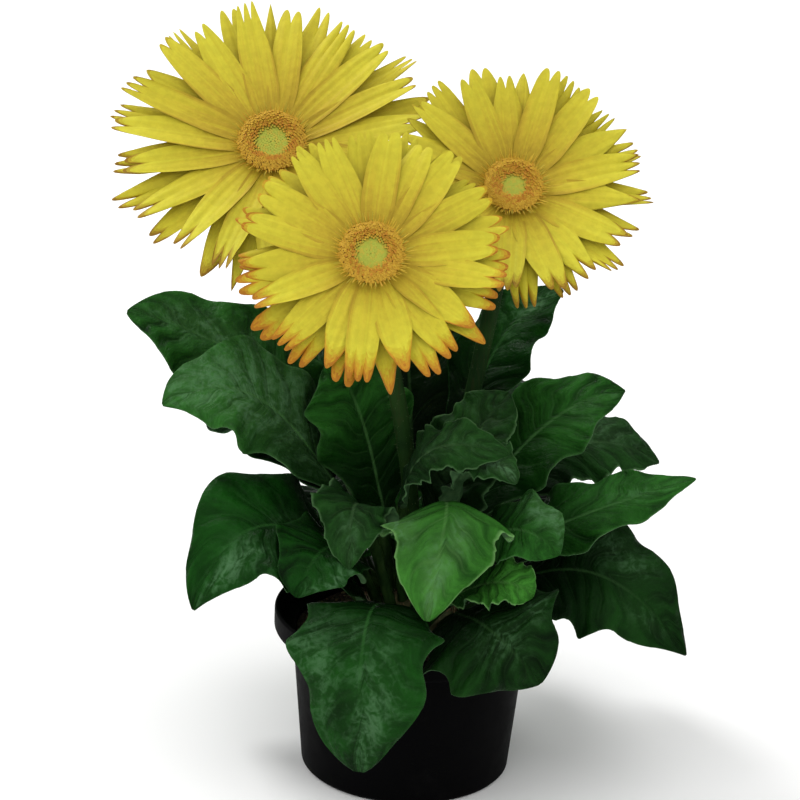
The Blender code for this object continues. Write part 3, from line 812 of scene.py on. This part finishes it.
def petal_sheets(length, width, lift_deg, rng, blunt):
    """Upper and lower sheets of one petal along +X: a claw, a ribbed strap and an end of one to three
    fingers."""
    share = np.linspace(0.0, 1.0, PETAL_STATIONS)[:, None]
    v = np.linspace(-1.0, 1.0, PETAL_COLUMNS)[None, :]
    fingers = rng.choice(FINGERS)
    cut, bluntness = (rng.uniform(*ends) for ends in (BLUNT_END if blunt else KEEN_END))
    lean, taper, cup, phase, twist, bend, curl, tip = (rng.uniform(*ends) for ends in PETAL_VARIES)
    if fingers == 1:
        cut, bluntness, taper = cut * 1.5, bluntness * 0.65, taper + 0.25
    finger = np.abs(fingers * (v + 1.0) % 2.0 - 1.0) ** bluntness
    reach = 1.0 - cut * finger * (1.0 + 0.3 * lean * v) - 0.02 * np.abs(v) ** 2.5 + lean * v
    out = PETAL_FOOT_R + (length - PETAL_FOOT_R) * share * reach
    grow = CLAW + (1.0 - CLAW) * smooth_step(-0.15, 0.45, share)
    narrow = 1.0 - taper * np.clip((share - NARROW_FROM) / (1.0 - NARROW_FROM), 0.0, 1.0) ** 2.0
    across = v * width * PETAL_OVERLAP / 2 * grow * narrow
    ribs = PETAL_RIB * np.cos(4 * np.pi * v + phase)
    ribs = ribs * smooth_step(0.1, 0.3, share) * smooth_step(1.0, 0.85, share)
    high = cup * np.abs(v) ** 1.7 * smooth_step(0.0, 0.4, share) + ribs
    twist = np.radians(twist) * share**1.6
    middle = (out - PETAL_FOOT_R) * math.tan(math.radians(lift_deg)) - curl * share**2 + tip * share**5
    y = across * np.cos(twist) - high * np.sin(twist) + bend * share**2
    z = middle + across * np.sin(twist) + high * np.cos(twist)
    deep = PETAL_THICK / 2 * (1.0 - 0.55 * np.abs(v) ** 3) * (1.0 - 0.35 * share)
    sheet = np.stack([np.broadcast_to(out, y.shape), y, z], -1)
    offset = np.zeros_like(sheet)
    offset[..., 2] = deep
    return sheet + offset, sheet - offset


def petal_deal(angle, lower, blunt, blush_from, back_from, rng):
    """How a petal's faces take their colours by their place: golden at the root, streaked along, with darker
    margins, and an orange or rusty end that is longer on the petals that hang down. The lower row and the
    upward petals are darker over more of their length, as painted shade, and the darker margins are partly
    painted shade between the petals."""
    down = 0.5 - 0.5 * math.sin(angle)
    blush = 0.004 + (0.20 * down**1.8 if blunt else 0.08 * down**1.3) + 0.04 * down * rng.random()
    # Random tone, with painted shade: darker on the lower row and over more of the petals that point up
    tone_and_shade = rng.uniform(-0.12, 0.06) - (0.12 if lower else 0.0) - 0.20 * (1.0 - down)
    grain = np.random.default_rng(rng.randrange(1 << 30))
    streaks = grain.uniform(-1.6, 1.0, PETAL_COLUMNS)
    margins = grain.uniform(0.2, 1.0, 2)
    first = blush_from if blunt else blush_from + len(BLUSH)
    last = blush_from - 1

    def deal(level, column, on_top):
        share = (level + 0.5) / (PETAL_STATIONS - 1)
        side = (column + 0.5) / (PETAL_COLUMNS - 1) * 2 - 1
        edge = np.abs(side)
        ragged = grain.uniform(-0.5, 0.5, level.shape)
        along = np.clip(share**0.8 * 1.12 + tone_and_shade, 0.0, 1.0) * last
        # Darker margins: partly the petal's own edge, partly painted shade where the petals overlap
        dark = MARGIN_DARK * np.where(side > 0, margins[1], margins[0]) * smooth_step(0.72, 1.0, edge)
        step = np.rint(along + streaks[column] + ragged * 0.7 - dark * smooth_step(0.95, 0.6, share))
        warm = (share - (1.0 - blush)) / blush + 0.25 * edge**3 + 0.3 * ragged
        warm = np.clip(np.ceil(warm * len(BLUSH)), 0, len(BLUSH))
        coat_number = np.where(warm > 0, first + warm - 1, np.clip(step, 0, last))
        return np.where(on_top, coat_number, back_from).astype(int)

    return deal


def petals(bloom, coats, blush_from, back_from):
    """The hub and its two rows of ray petals."""
    rng = random.Random(f"{SEED} petals {bloom.key}")
    bodies = [lathe(rounded(HUB), ROUND, HUB_COAT)]
    blunt = bloom.key == BLUNT_BLOOM
    for index, (angle, length, width, high, lift) in enumerate(petal_rows(bloom)):
        top, under = petal_sheets(length, width, lift, rng, blunt)
        deal = petal_deal(angle, index < bloom.petals // 2, blunt, blush_from, back_from, rng)
        body = skinned(top, under, deal)
        body.points = turned(body.points, angle) + UP * high
        bodies.append(body)
    show("petals_" + bloom.key, placed(joined(bodies), bloom), coats, ["bloom_" + bloom.key], 60.0)


# Discs: a green heart of buds, a ring of open florets and a fringe of short golden rays


DISC_COLOURS = {
    "disc_heart": ((0.33, 0.36, 0.038), (0.37, 0.39, 0.042)),
    "disc_lime": ((0.40, 0.34, 0.034), (0.44, 0.37, 0.038)),
    "disc_amber": ((0.50, 0.29, 0.026), (0.56, 0.34, 0.030)),
    "disc_rust": ((0.46, 0.20, 0.020), (0.52, 0.24, 0.024)),
    "disc_gold": ((0.58, 0.38, 0.034), (0.64, 0.45, 0.042)),
}
DISC_HEART, DISC_LIME, DISC_AMBER, DISC_RUST, DISC_GOLD = range(len(DISC_COLOURS))

# Shares of the disc's radius: of each green heart, of the lime ring round it, and where rust turns to amber
HEART_SHARE = {"left": 0.46, "front": 0.46, "right": 0.37}
LIME_RING = 0.08
RUST_TO = 0.74

FLORETS = 560
FLORET_SINK = 0.5
BUD_SIDES = 6
FRINGE = 130
GOLDEN = math.pi * (3.0 - math.sqrt(5.0))


def disc_height(share):
    """Height of the disc over its foot at a share of its radius: a raised ring round a low heart."""
    around = math.exp(-(((share - 0.80) / 0.22) ** 2))
    return DISC_HIGH - 1.7 + 1.3 * around + 0.35 * math.cos(min(1.0, share / 0.42) * math.pi / 2)


def bud(place, lean, girth, height, coats_used, flare):
    """A small upright floret with a flared mouth or a domed end."""
    lean = unit(lean)
    side = unit(np.cross(lean, [0.3, 1.0, 0.2]))
    other = np.cross(lean, side)
    end = (0.12, 0.90 if flare > 1.0 else 1.12)
    shape = [(0.55, -0.35), (0.62, 0.35), (0.80, 0.75), (flare, 1.0), (flare * 0.62, 1.04), end]
    turn = math.tau * np.arange(BUD_SIDES) / BUD_SIDES
    rings = [ring(place + lean * (up * height), side, other, wide * girth, turn) for wide, up in shape]
    body = tube(np.array(rings))
    inner = 2 * BUD_SIDES + 1
    body.coats = [coats_used[0]] * (len(body.faces) - inner) + [coats_used[1]] * inner
    return body


def hair(place, along, length, girth, bend, coat_number):
    """A slim pointed strand that bends towards a direction."""
    along = unit(along)
    side = unit(np.cross(along, [0.21, 0.37, 0.9]))
    other = np.cross(along, side)
    rings = []
    for t in np.linspace(0.0, 1.0, HAIR_RINGS):
        centre = place + along * (length * t) + np.asarray(bend, float) * (t * t)
        rings.append(ring(centre, side, other, girth * (1.0 - 0.85 * t), HAIR_CORNERS))
    return tube(np.array(rings), coat_number)


def floret(place, outward, share, heart, rng):
    """The bodies of one floret: a closed bud in the heart and in the lime ring round it, and further out an
    open one, mostly with its style."""
    girth = 0.46 + 0.08 * share
    ragged = rng.uniform(-0.05, 0.05)
    if share + ragged < heart:
        used = (DISC_HEART, DISC_HEART if rng.random() < 0.7 else DISC_LIME)
        return [bud(place, outward * 0.05 + UP, girth * 1.25, 0.5, used, 0.95)]
    if share + ragged < heart + LIME_RING:
        used = (DISC_LIME, rng.choice((DISC_LIME, DISC_AMBER)))
        return [bud(place, outward * 0.1 + UP, girth, 0.9, used, 0.95)]
    inner = DISC_RUST if share + 2.0 * ragged < RUST_TO else DISC_AMBER
    used = (rng.choice((DISC_RUST, DISC_AMBER)), rng.choice((inner, inner, DISC_AMBER)))
    sway = np.array([rng.uniform(-0.15, 0.15), rng.uniform(-0.15, 0.15), 1.0])
    lean = outward * (0.15 + 0.9 * (share - 0.5)) + sway
    high = rng.uniform(1.0, 1.5)
    bodies = [bud(place, lean, girth, high, used, rng.uniform(1.05, 1.25))]
    if rng.random() < 0.75:
        top = place + unit(lean) * (high * 0.8)
        bodies.append(hair(top, lean, rng.uniform(1.0, 1.8), 0.16, outward * 0.5, DISC_GOLD))
    return bodies


def fringe(wide, foot, rng):
    """The short golden rays round a disc."""
    bodies = []
    for index in range(FRINGE):
        outward = level_way(math.tau * index / FRINGE + rng.uniform(-0.05, 0.05))
        place = outward * wide * rng.uniform(0.86, 1.0) + UP * (foot + 1.6)
        lean = outward * rng.uniform(0.5, 1.3) + UP
        colour = rng.choice((DISC_GOLD, DISC_GOLD, DISC_AMBER, DISC_LIME))
        length = rng.uniform(2.6, 4.6)
        girth = rng.uniform(0.28, 0.5)
        bodies.append(hair(place, lean, length, girth, outward * rng.uniform(0.2, 1.6), colour))
    return bodies


def disc(bloom, coats):
    rng = random.Random(f"{SEED} disc {bloom.key}")
    foot = HUB_HALF + GAP
    wide = bloom.disc_r
    profile = [(AXIS_R, foot), (wide - 1.6, foot), (wide - 0.5, foot + 1.0)]
    for share in (0.93, 0.8, 0.65, 0.5, 0.35, 0.2, 0.05):
        profile.append((wide * share, foot + disc_height(share) - FLORET_SINK))
    profile.append((AXIS_R, foot + disc_height(0.0) - FLORET_SINK))
    base = lathe(profile, ROUND, DISC_RUST)
    # Green from share 0.65 inwards: the last five bands of faces, and the two end faces behind them
    middle = 5 * ROUND + 2
    base.coats[-middle:] = [DISC_HEART] * middle
    bodies = [base]
    for index in range(FLORETS):
        share = math.sqrt((index + 0.5) / FLORETS)
        outward = level_way(index * GOLDEN)
        place = outward * (wide * 0.97 * share) + UP * (foot + disc_height(share) - FLORET_SINK)
        bodies += floret(place, outward, share, HEART_SHARE[bloom.key], rng)
    bodies += fringe(wide, foot, rng)
    show("florets_" + bloom.key, placed(joined(bodies), bloom), coats, ["disc_" + bloom.key], 40.0)


def disc_coats():
    rows = DISC_COLOURS.items()
    return [speckled(name, low, high, 900.0, 0.7, 0.2, specular=0.25) for name, (low, high) in rows]


# Calyx: a cup closed in by rows of pointed bracts. A row has its start as a share of the cup, the length,
# width and number of its bracts, and its shift round the cup in bracts.


BRACT_ROWS = ((0.62, 8.4, 3.2, 17, 0.0), (0.30, 8.2, 3.4, 15, 0.5), (0.02, 7.4, 3.6, 12, 0.2))
BRACT_REACH = 12.0
BRACT_HALF_THICK = 0.28
BRACT_STATIONS = 9
BRACT_COLUMNS = 5
BRACT_GREEN = 5


def cup_place(share):
    """Radius and height of the calyx's outside, from its foot at 0 to its mouth at 1."""
    low = STEM_TOP_R + 0.6
    radius = low + (CALYX_R - low) * math.sin(share * math.pi / 2) ** 0.8
    return radius, -HUB_HALF - GAP - CALYX_DEEP * (1.0 - share)


def bract(start, length, width, angle, rng):
    """One bract that follows the cup upward, with its end a little proud."""
    proud = rng.uniform(0.1, 0.9)
    sheet = np.zeros((BRACT_STATIONS, BRACT_COLUMNS, 3))
    for row, t in enumerate(np.linspace(0.0, 1.0, BRACT_STATIONS)):
        radius, height = cup_place(min(1.0, start + t * length / BRACT_REACH))
        radius += 0.35 + proud * t**3
        half = width / 2 * (0.75 + 0.5 * t) * (1.0 - t**2.4) + 0.05
        for column, side in enumerate(np.linspace(-1.0, 1.0, BRACT_COLUMNS)):
            inset = radius - 0.35 * side * side
            sheet[row, column] = level_way(angle + side * half / radius) * inset + UP * height
    outward = unit(sheet * [1.0, 1.0, 0.0]) * BRACT_HALF_THICK

    def deal(level, column, on_top):
        return np.where(level > BRACT_GREEN, 1, 0)

    return skinned(sheet + outward, sheet - outward, deal)


def calyx(bloom, coats):
    rng = random.Random(f"{SEED} calyx {bloom.key}")
    profile = [(AXIS_R, cup_place(0.0)[1])] + [cup_place(step / CUP_STEPS) for step in range(CUP_STEPS + 1)]
    profile += [(CALYX_R - 1.0, -HUB_HALF - GAP), (AXIS_R, -HUB_HALF - GAP)]
    bodies = [lathe(profile, ROUND)]
    for start, length, width, count, shift in BRACT_ROWS:
        for index in range(count):
            angle = math.tau * (index + shift) / count + rng.uniform(-0.04, 0.04)
            bodies.append(bract(start, length * rng.uniform(0.9, 1.08), width, angle, rng))
    for _ in range(CALYX_HAIRS):
        share = rng.uniform(0.0, 0.95)
        outward = level_way(rng.uniform(0.0, math.tau))
        radius, height = cup_place(share)
        place = outward * (radius + 0.3) + UP * height
        length = rng.uniform(0.7, 1.5)
        bodies.append(hair(place, outward + UP * 0.25, length, 0.06, UP * rng.uniform(-0.3, 0.5), 2))
    body = placed(joined(bodies), bloom)
    show("bracts_" + bloom.key, body, coats, ["calyx_" + bloom.key], 50.0)


def bract_coats(hairs):
    return [
        speckled("bract_green", (0.050, 0.110, 0.028), (0.095, 0.170, 0.042), 350.0, 0.6, 0.3),
        speckled("bract_tip", (0.110, 0.130, 0.038), (0.160, 0.150, 0.050), 350.0, 0.6, 0.3),
        hairs,
    ]


# Stems


def stem(bloom, coats):
    """A ribbed, hairy stalk from the crown to the calyx."""
    rng = random.Random(f"{SEED} stem {bloom.key}")
    axis = bloom_axes(bloom)[2]
    out, seat = crown_seat(bloom.crown_lift, bloom.crown_angle)
    top = np.asarray(bloom.centre, float) - axis * (HUB_HALF + CALYX_DEEP + 2 * GAP)
    bow = seat + out * 14.0 + (np.asarray(bloom.bow, float) - seat) * 0.8
    t = np.linspace(0.0, 1.0, STEM_STATIONS)
    place, along = bezier((seat, bow, top - axis * bloom.lead, top), t)
    place[0] = place[0] + along[0] * 0.2
    side = unit(np.cross(along[0], [1.0, 0.0, 0.0]))
    turn = math.tau * np.arange(STEM_SIDES) / STEM_SIDES
    ribs = 1.0 + 0.022 * np.cos(STEM_RIBS * turn)
    rings = []
    sides = []
    for step, share in enumerate(t):
        side = unit(side - along[step] * np.dot(side, along[step]))
        sides.append((side, np.cross(along[step], side)))
        swell = 0.7 * smooth_step(0.93, 1.0, share) + 0.25 * smooth_step(0.06, 0.0, share)
        radius = (STEM_R + (STEM_TOP_R - STEM_R) * share + swell) * ribs
        rings.append(ring(place[step], *sides[-1], radius, turn))
    bodies = [tube(np.array(rings))]
    for _ in range(STEM_HAIRS):
        step = rng.randrange(1, STEM_STATIONS - 1)
        angle = rng.uniform(0.0, math.tau)
        side, other = sides[step]
        outward = math.cos(angle) * side + math.sin(angle) * other
        slip = along[step] * rng.uniform(-1.5, 1.5)
        root = place[step] + slip + outward * (STEM_R - 0.2)
        length = rng.uniform(0.9, 1.7)
        bodies.append(hair(root, outward, length, 0.05, along[step] * rng.uniform(-0.3, 0.4), 1))
    show("stalk_" + bloom.key, joined(bodies), coats, ["stem_" + bloom.key], 50.0)


def stem_coats():
    """The stalk's skin and the hairs of stalks and calyces."""
    made, tree, shader = coat("stem_skin", (0.009, 0.028, 0.006), 0.55, 0.03)
    drift = span(tree, noise(tree, 60.0), 0.3, 0.7)
    colour = blend(tree, drift, (0.006, 0.022, 0.005), (0.014, 0.040, 0.008))
    streak = span(tree, noise(tree, 700.0, 2.0, stretch=(1.0, 1.0, 0.08)), 0.45, 0.7)
    colour = blend(tree, times(tree, streak, 0.35), colour, (0.022, 0.026, 0.009))
    tree.links.new(colour, shader.inputs["Base Color"])
    roughen(tree, shader, noise(tree, 1400.0, stretch=(1.0, 1.0, 0.2)), 0.3, 0.4)
    return [made, speckled("plant_hair", (0.09, 0.14, 0.055), (0.13, 0.18, 0.08), 500.0, 0.6, 0.1)]


# Crown, potting mix and pot


def heart_leaf(number, lift, angle, tip, half):
    """A small leaf that rises from the crown, as a body with the coats of crown_coats()."""
    out, seat = crown_seat(lift, angle)
    tip = np.asarray(tip, float)
    reach = np.linalg.norm(tip - seat)
    bow = seat + out * 0.35 * reach
    shoulder = tip - UP * (0.35 * reach)
    leaf = Leaf("heart", lift, angle, bow, shoulder, tip, half, 0.3, 0.5, 0, 0.3, 0.17 * number)
    top, under, _ = leaf_sheets(leaf, 1.0)
    return skinned(top, under, lambda level, column, on_top: np.where(level < PETIOLE_STATIONS, 4, 3))


def crown_coats():
    return [
        speckled("crown_bark", (0.060, 0.075, 0.022), (0.110, 0.100, 0.035), 260.0, 0.8, 0.5),
        speckled("crown_scale", (0.120, 0.085, 0.040), (0.180, 0.120, 0.055), 400.0, 0.8, 0.3),
        speckled("crown_wool", (0.380, 0.330, 0.220), (0.460, 0.400, 0.280), 500.0, 0.7, 0.1),
        speckled("heart_blade", (0.012, 0.075, 0.010), (0.026, 0.130, 0.020), 260.0, 0.5, 0.5, specular=0.05),
        speckled("heart_stalk", (0.018, 0.050, 0.010), (0.040, 0.080, 0.018), 400.0, 0.6, 0.3, specular=0.05),
    ]


def crown():
    """The mound that the stalks rise from, with its scales, its wool and the small leaves of the heart."""
    rng = random.Random(f"{SEED} crown")
    foot = SOIL_TOP_Z + GAP
    low = math.asin((foot - CROWN_Z) / CROWN_R)
    lowest = math.degrees(low) + 2.0
    profile = [(AXIS_R, foot)]
    for step in range(CROWN_STEPS):
        angle = low + (math.pi / 2 - low) * step / CROWN_STEPS
        radius = CROWN_R - CROWN_SINK + 0.25 * math.sin(step * 2.4)
        profile.append((radius * math.cos(angle), CROWN_Z + radius * math.sin(angle)))
    profile.append((AXIS_R, CROWN_Z + CROWN_R - CROWN_SINK))
    bodies = [lathe(profile, CROWN_SIDES)]
    for _ in range(SCALES):
        lift = rng.uniform(lowest, 80.0)
        out, seat = crown_seat(lift, rng.uniform(0.0, 360.0))
        upward = unit(UP - out * out[2])
        length = rng.uniform(4.0, 8.0)
        girth = rng.uniform(0.6, 1.1)
        bodies.append(hair(seat - out * 0.9, upward + out * 0.35, length, girth, out * 0.8, 1))
    for _ in range(WOOL):
        out, seat = crown_seat(rng.uniform(lowest, 85.0), rng.uniform(0.0, 360.0))
        drift = np.array([rng.uniform(-1, 1), rng.uniform(-1, 1), rng.uniform(-0.4, 1)])
        bodies.append(hair(seat - out * 0.7, out + drift * 0.6, rng.uniform(1.5, 3.5), 0.08, drift, 2))
    bodies += [heart_leaf(number, *row) for number, row in enumerate(HEART)]
    show("crown_mound", joined(bodies), crown_coats(), ["crown"], 50.0)


def soil_height(x, y):
    """Height of the potting mix: level in the middle, lower at the wall, with lumps of several sizes."""
    radius = np.hypot(x, y)
    edge = POT_NECK_R - WALL - MIX_GAP
    slope = np.clip((radius - SOIL_FLAT_R) / (edge - SOIL_FLAT_R), 0.0, 1.0)
    height = SOIL_TOP_Z - (SOIL_TOP_Z - SOIL_EDGE_Z) * slope
    lumps = np.sin(x * 0.55 + 1.3 * np.sin(y * 0.31)) * np.cos(y * 0.61 + 1.1 * np.sin(x * 0.27))
    fine = np.sin(x * 1.9 + 2.0 * np.sin(y * 1.1)) * np.sin(y * 1.7 + 1.6 * np.sin(x * 0.9))
    return height - 0.55 + 0.35 * lumps + 0.22 * fine


def grain(edge, rng):
    """One crumb, chip of bark or fibre on the potting mix."""
    radius = edge * math.sqrt(rng.random()) * 0.985
    angle = rng.uniform(0.0, math.tau)
    x, y = radius * math.cos(angle), radius * math.sin(angle)
    ends = (GRAIN_FINE, GRAIN_COARSE) if rng.random() < 0.93 else (GRAIN_COARSE, GRAIN_LARGEST)
    size = rng.uniform(*ends)
    if radius + size > edge or (radius < CROWN_R + 1.0 and size > 0.5):
        size = GRAIN_FINE
    stretch = np.array([rng.uniform(0.7, 1.5), rng.uniform(0.7, 1.2), rng.uniform(0.5, 0.9)]) * size
    body = tube(lathe_rings(GRAIN, 7) * stretch, rng.choice((1, 1, 2, 2, 3)) if size < GRAIN_BARK else 2)
    centre = np.array([x, y, float(soil_height(x, y)) + size * 0.15])
    body.points = turned(body.points, rng.uniform(0.0, math.pi)) + centre
    return body


def soil():
    """The potting mix, with a lumpy top and loose grains on it."""
    rng = random.Random(f"{SEED} soil")
    foot = FLOOR + GAP
    low_r = POT_FOOT_R + POT_TAPER * foot - WALL - MIX_GAP
    edge = POT_NECK_R - POT_TAPER * (LIP_Z - SOIL_EDGE_Z) - WALL - MIX_GAP
    rings = list(lathe_rings([(AXIS_R, foot), (low_r, foot), (edge, SOIL_EDGE_Z - 1.2)], SOIL_SIDES))
    for radius in np.concatenate([np.linspace(edge, 1.0, SOIL_RINGS), [AXIS_R]]):
        around = lathe_rings([(radius, 0.0)], SOIL_SIDES)[0]
        around[:, 2] = soil_height(around[:, 0], around[:, 1])
        rings.append(around)
    bodies = [tube(np.array(rings))] + [grain(edge, rng) for _ in range(GRAINS)]
    coats = [
        speckled("mix_peat", (0.016, 0.010, 0.007), (0.034, 0.021, 0.013), 420.0, 0.95, 0.8, specular=0.2),
        speckled("mix_crumb", (0.022, 0.014, 0.009), (0.045, 0.028, 0.017), 600.0, 0.95, 0.6, specular=0.2),
        speckled("mix_bark", (0.050, 0.026, 0.013), (0.085, 0.045, 0.022), 500.0, 0.85, 0.5, specular=0.3),
        speckled("mix_fibre", (0.090, 0.060, 0.034), (0.130, 0.090, 0.050), 500.0, 0.9, 0.4, specular=0.2),
    ]
    show("soil_surface", joined(bodies), coats, ["potting_mix"], 55.0)


def pot_coat():
    """Black plastic, a little worn in patches."""
    made, tree, shader = coat("pot_plastic", (0.0010, 0.0010, 0.0011), 0.55, 0.02)
    cloud = noise(tree, 70.0, 5.0, 0.65)
    worn = blend(tree, span(tree, cloud, 0.55, 0.85), (0.0013, 0.0013, 0.0015), (0.0032, 0.0031, 0.0032))
    tree.links.new(worn, shader.inputs["Base Color"])
    tree.links.new(span(tree, cloud, 0.3, 0.7, 0.50, 0.65), shader.inputs["Roughness"])
    roughen(tree, shader, noise(tree, 2600.0, 2.0), 0.12, 0.3)
    return made


def cut_holes(obj):
    """Cuts the drain holes through the pot's floor."""
    drills = []
    for hole in range(DRAIN_HOLES):
        drill = lathe([(DRAIN_R, -DRILL_PAST), (DRAIN_R, FLOOR + DRILL_PAST)], 32)
        drill.points = drill.points + level_way(math.tau * (hole + 0.5) / DRAIN_HOLES) * DRAIN_AT
        drills.append(drill)
    cutter = joined(drills)
    tool = add_object("drills", new_mesh("drills", (cutter.points * MM).tolist(), cutter.faces))
    change = obj.modifiers.new("holes", "BOOLEAN")
    change.operation = "DIFFERENCE"
    change.solver = "EXACT"
    change.object = tool
    bpy.context.view_layer.update()
    cut = bpy.data.meshes.new_from_object(obj.evaluated_get(bpy.context.evaluated_depsgraph_get()))
    obj.modifiers.clear()
    obj.data = cut
    bpy.data.objects.remove(tool)


def pot():
    """The pot turned on a smooth profile, with a rolled lip."""
    outline = [
        (AXIS_R, 0.0),
        (POT_FOOT_R - FOOT_BEVEL, 0.0),
        (POT_FOOT_R, FOOT_BEVEL),
        (POT_NECK_R - NECK_IN, LIP_Z - NECK_BELOW),
        (POT_NECK_R, LIP_Z),
        (LIP_R - LIP_BEVEL, LIP_Z),
        (LIP_R, LIP_Z + LIP_UNDER),
        (LIP_R, RIM_Z - LIP_BEVEL),
        (LIP_R - LIP_CREST, RIM_Z),
        (LIP_R - WALL, RIM_Z),
        (LIP_R - WALL, LIP_Z + WALL),
        (POT_NECK_R - WALL, LIP_Z + WALL),
        (POT_FOOT_R + POT_TAPER * FLOOR - WALL, FLOOR),
        (AXIS_R, FLOOR),
    ]
    body = lathe(rounded(outline, 5, 0.7), POT_SIDES)
    cut_holes(show("pot_shell", body, [pot_coat()], ["pot"], 35.0))


# Camera, floor and light


def camera():
    eye = np.asarray(EYE) * MM
    ahead = unit(np.asarray(AIM) * MM - eye)
    right = unit(np.cross(ahead, UP))
    up = np.cross(right, ahead)
    x = right * math.cos(CAMERA_ROLL) + up * math.sin(CAMERA_ROLL)
    y = up * math.cos(CAMERA_ROLL) - right * math.sin(CAMERA_ROLL)
    lens = bpy.data.cameras.new("camera")
    lens.sensor_width = SENSOR
    lens.lens = FOCAL_PIXELS / PICTURE * SENSOR
    lens.clip_start = 0.01
    lens.clip_end = 50.0
    obj = add_object("camera", lens)
    turn = Matrix((x, y, -ahead)).transposed()
    obj.matrix_world = Matrix.Translation(Vector(eye)) @ turn.to_4x4()
    bpy.context.scene.camera = obj


def lamp(name, kind, place, energy, **settings):
    """A light aimed at the middle of the plant, with its place in metres."""
    data = bpy.data.lights.new(name, kind)
    data.energy = energy
    for key, value in settings.items():
        setattr(data, key, value)
    obj = add_object(name, data)
    obj.location = place
    obj.rotation_euler = (Vector(LAMP_AIM) - Vector(place)).to_track_quat("-Z", "Y").to_euler()


def stage():
    """A plain pale floor, an even white surround and three soft lights."""
    corners = [(x * FLOOR_REACH, y * FLOOR_REACH, 0.0) for x, y in ((-1, -1), (1, -1), (1, 1), (-1, 1))]
    floor = add_object("floor", new_mesh("floor", corners, [(0, 1, 2, 3)]))
    paper = speckled("floor_paper", (0.955, 0.955, 0.95), (0.965, 0.965, 0.96), 3.0, 0.9, 0.02, specular=0.05)
    floor.data.materials.append(paper)
    world = bpy.data.worlds.new("studio")
    world.use_nodes = True
    surround = world.node_tree.nodes["Background"]
    surround.inputs[0].default_value = (1.0, 1.0, 1.0, 1.0)
    surround.inputs[1].default_value = SURROUND
    bpy.context.scene.world = world
    lamp("key", "SUN", (-0.30, -0.85, 2.1), 2.5, angle=math.radians(120.0))
    lamp("sheen", "AREA", (-1.0, 0.9, 1.7), 16.0, shape="DISK", size=0.6)
    lamp("fill", "AREA", (1.5, -1.2, 0.9), 2.0, shape="DISK", size=1.2)
    bpy.context.scene.view_settings.view_transform = "Standard"


def main():
    camera()
    stage()
    pot()
    soil()
    crown()
    coats, blush_from, back_from = petal_coats()
    florets = disc_coats()
    skins = stem_coats()
    green = bract_coats(skins[1])
    for bloom in BLOOMS:
        petals(bloom, coats, blush_from, back_from)
        disc(bloom, florets)
        calyx(bloom, green)
        stem(bloom, skins)
    leaves()


main()
bpy.context.view_layer.update()
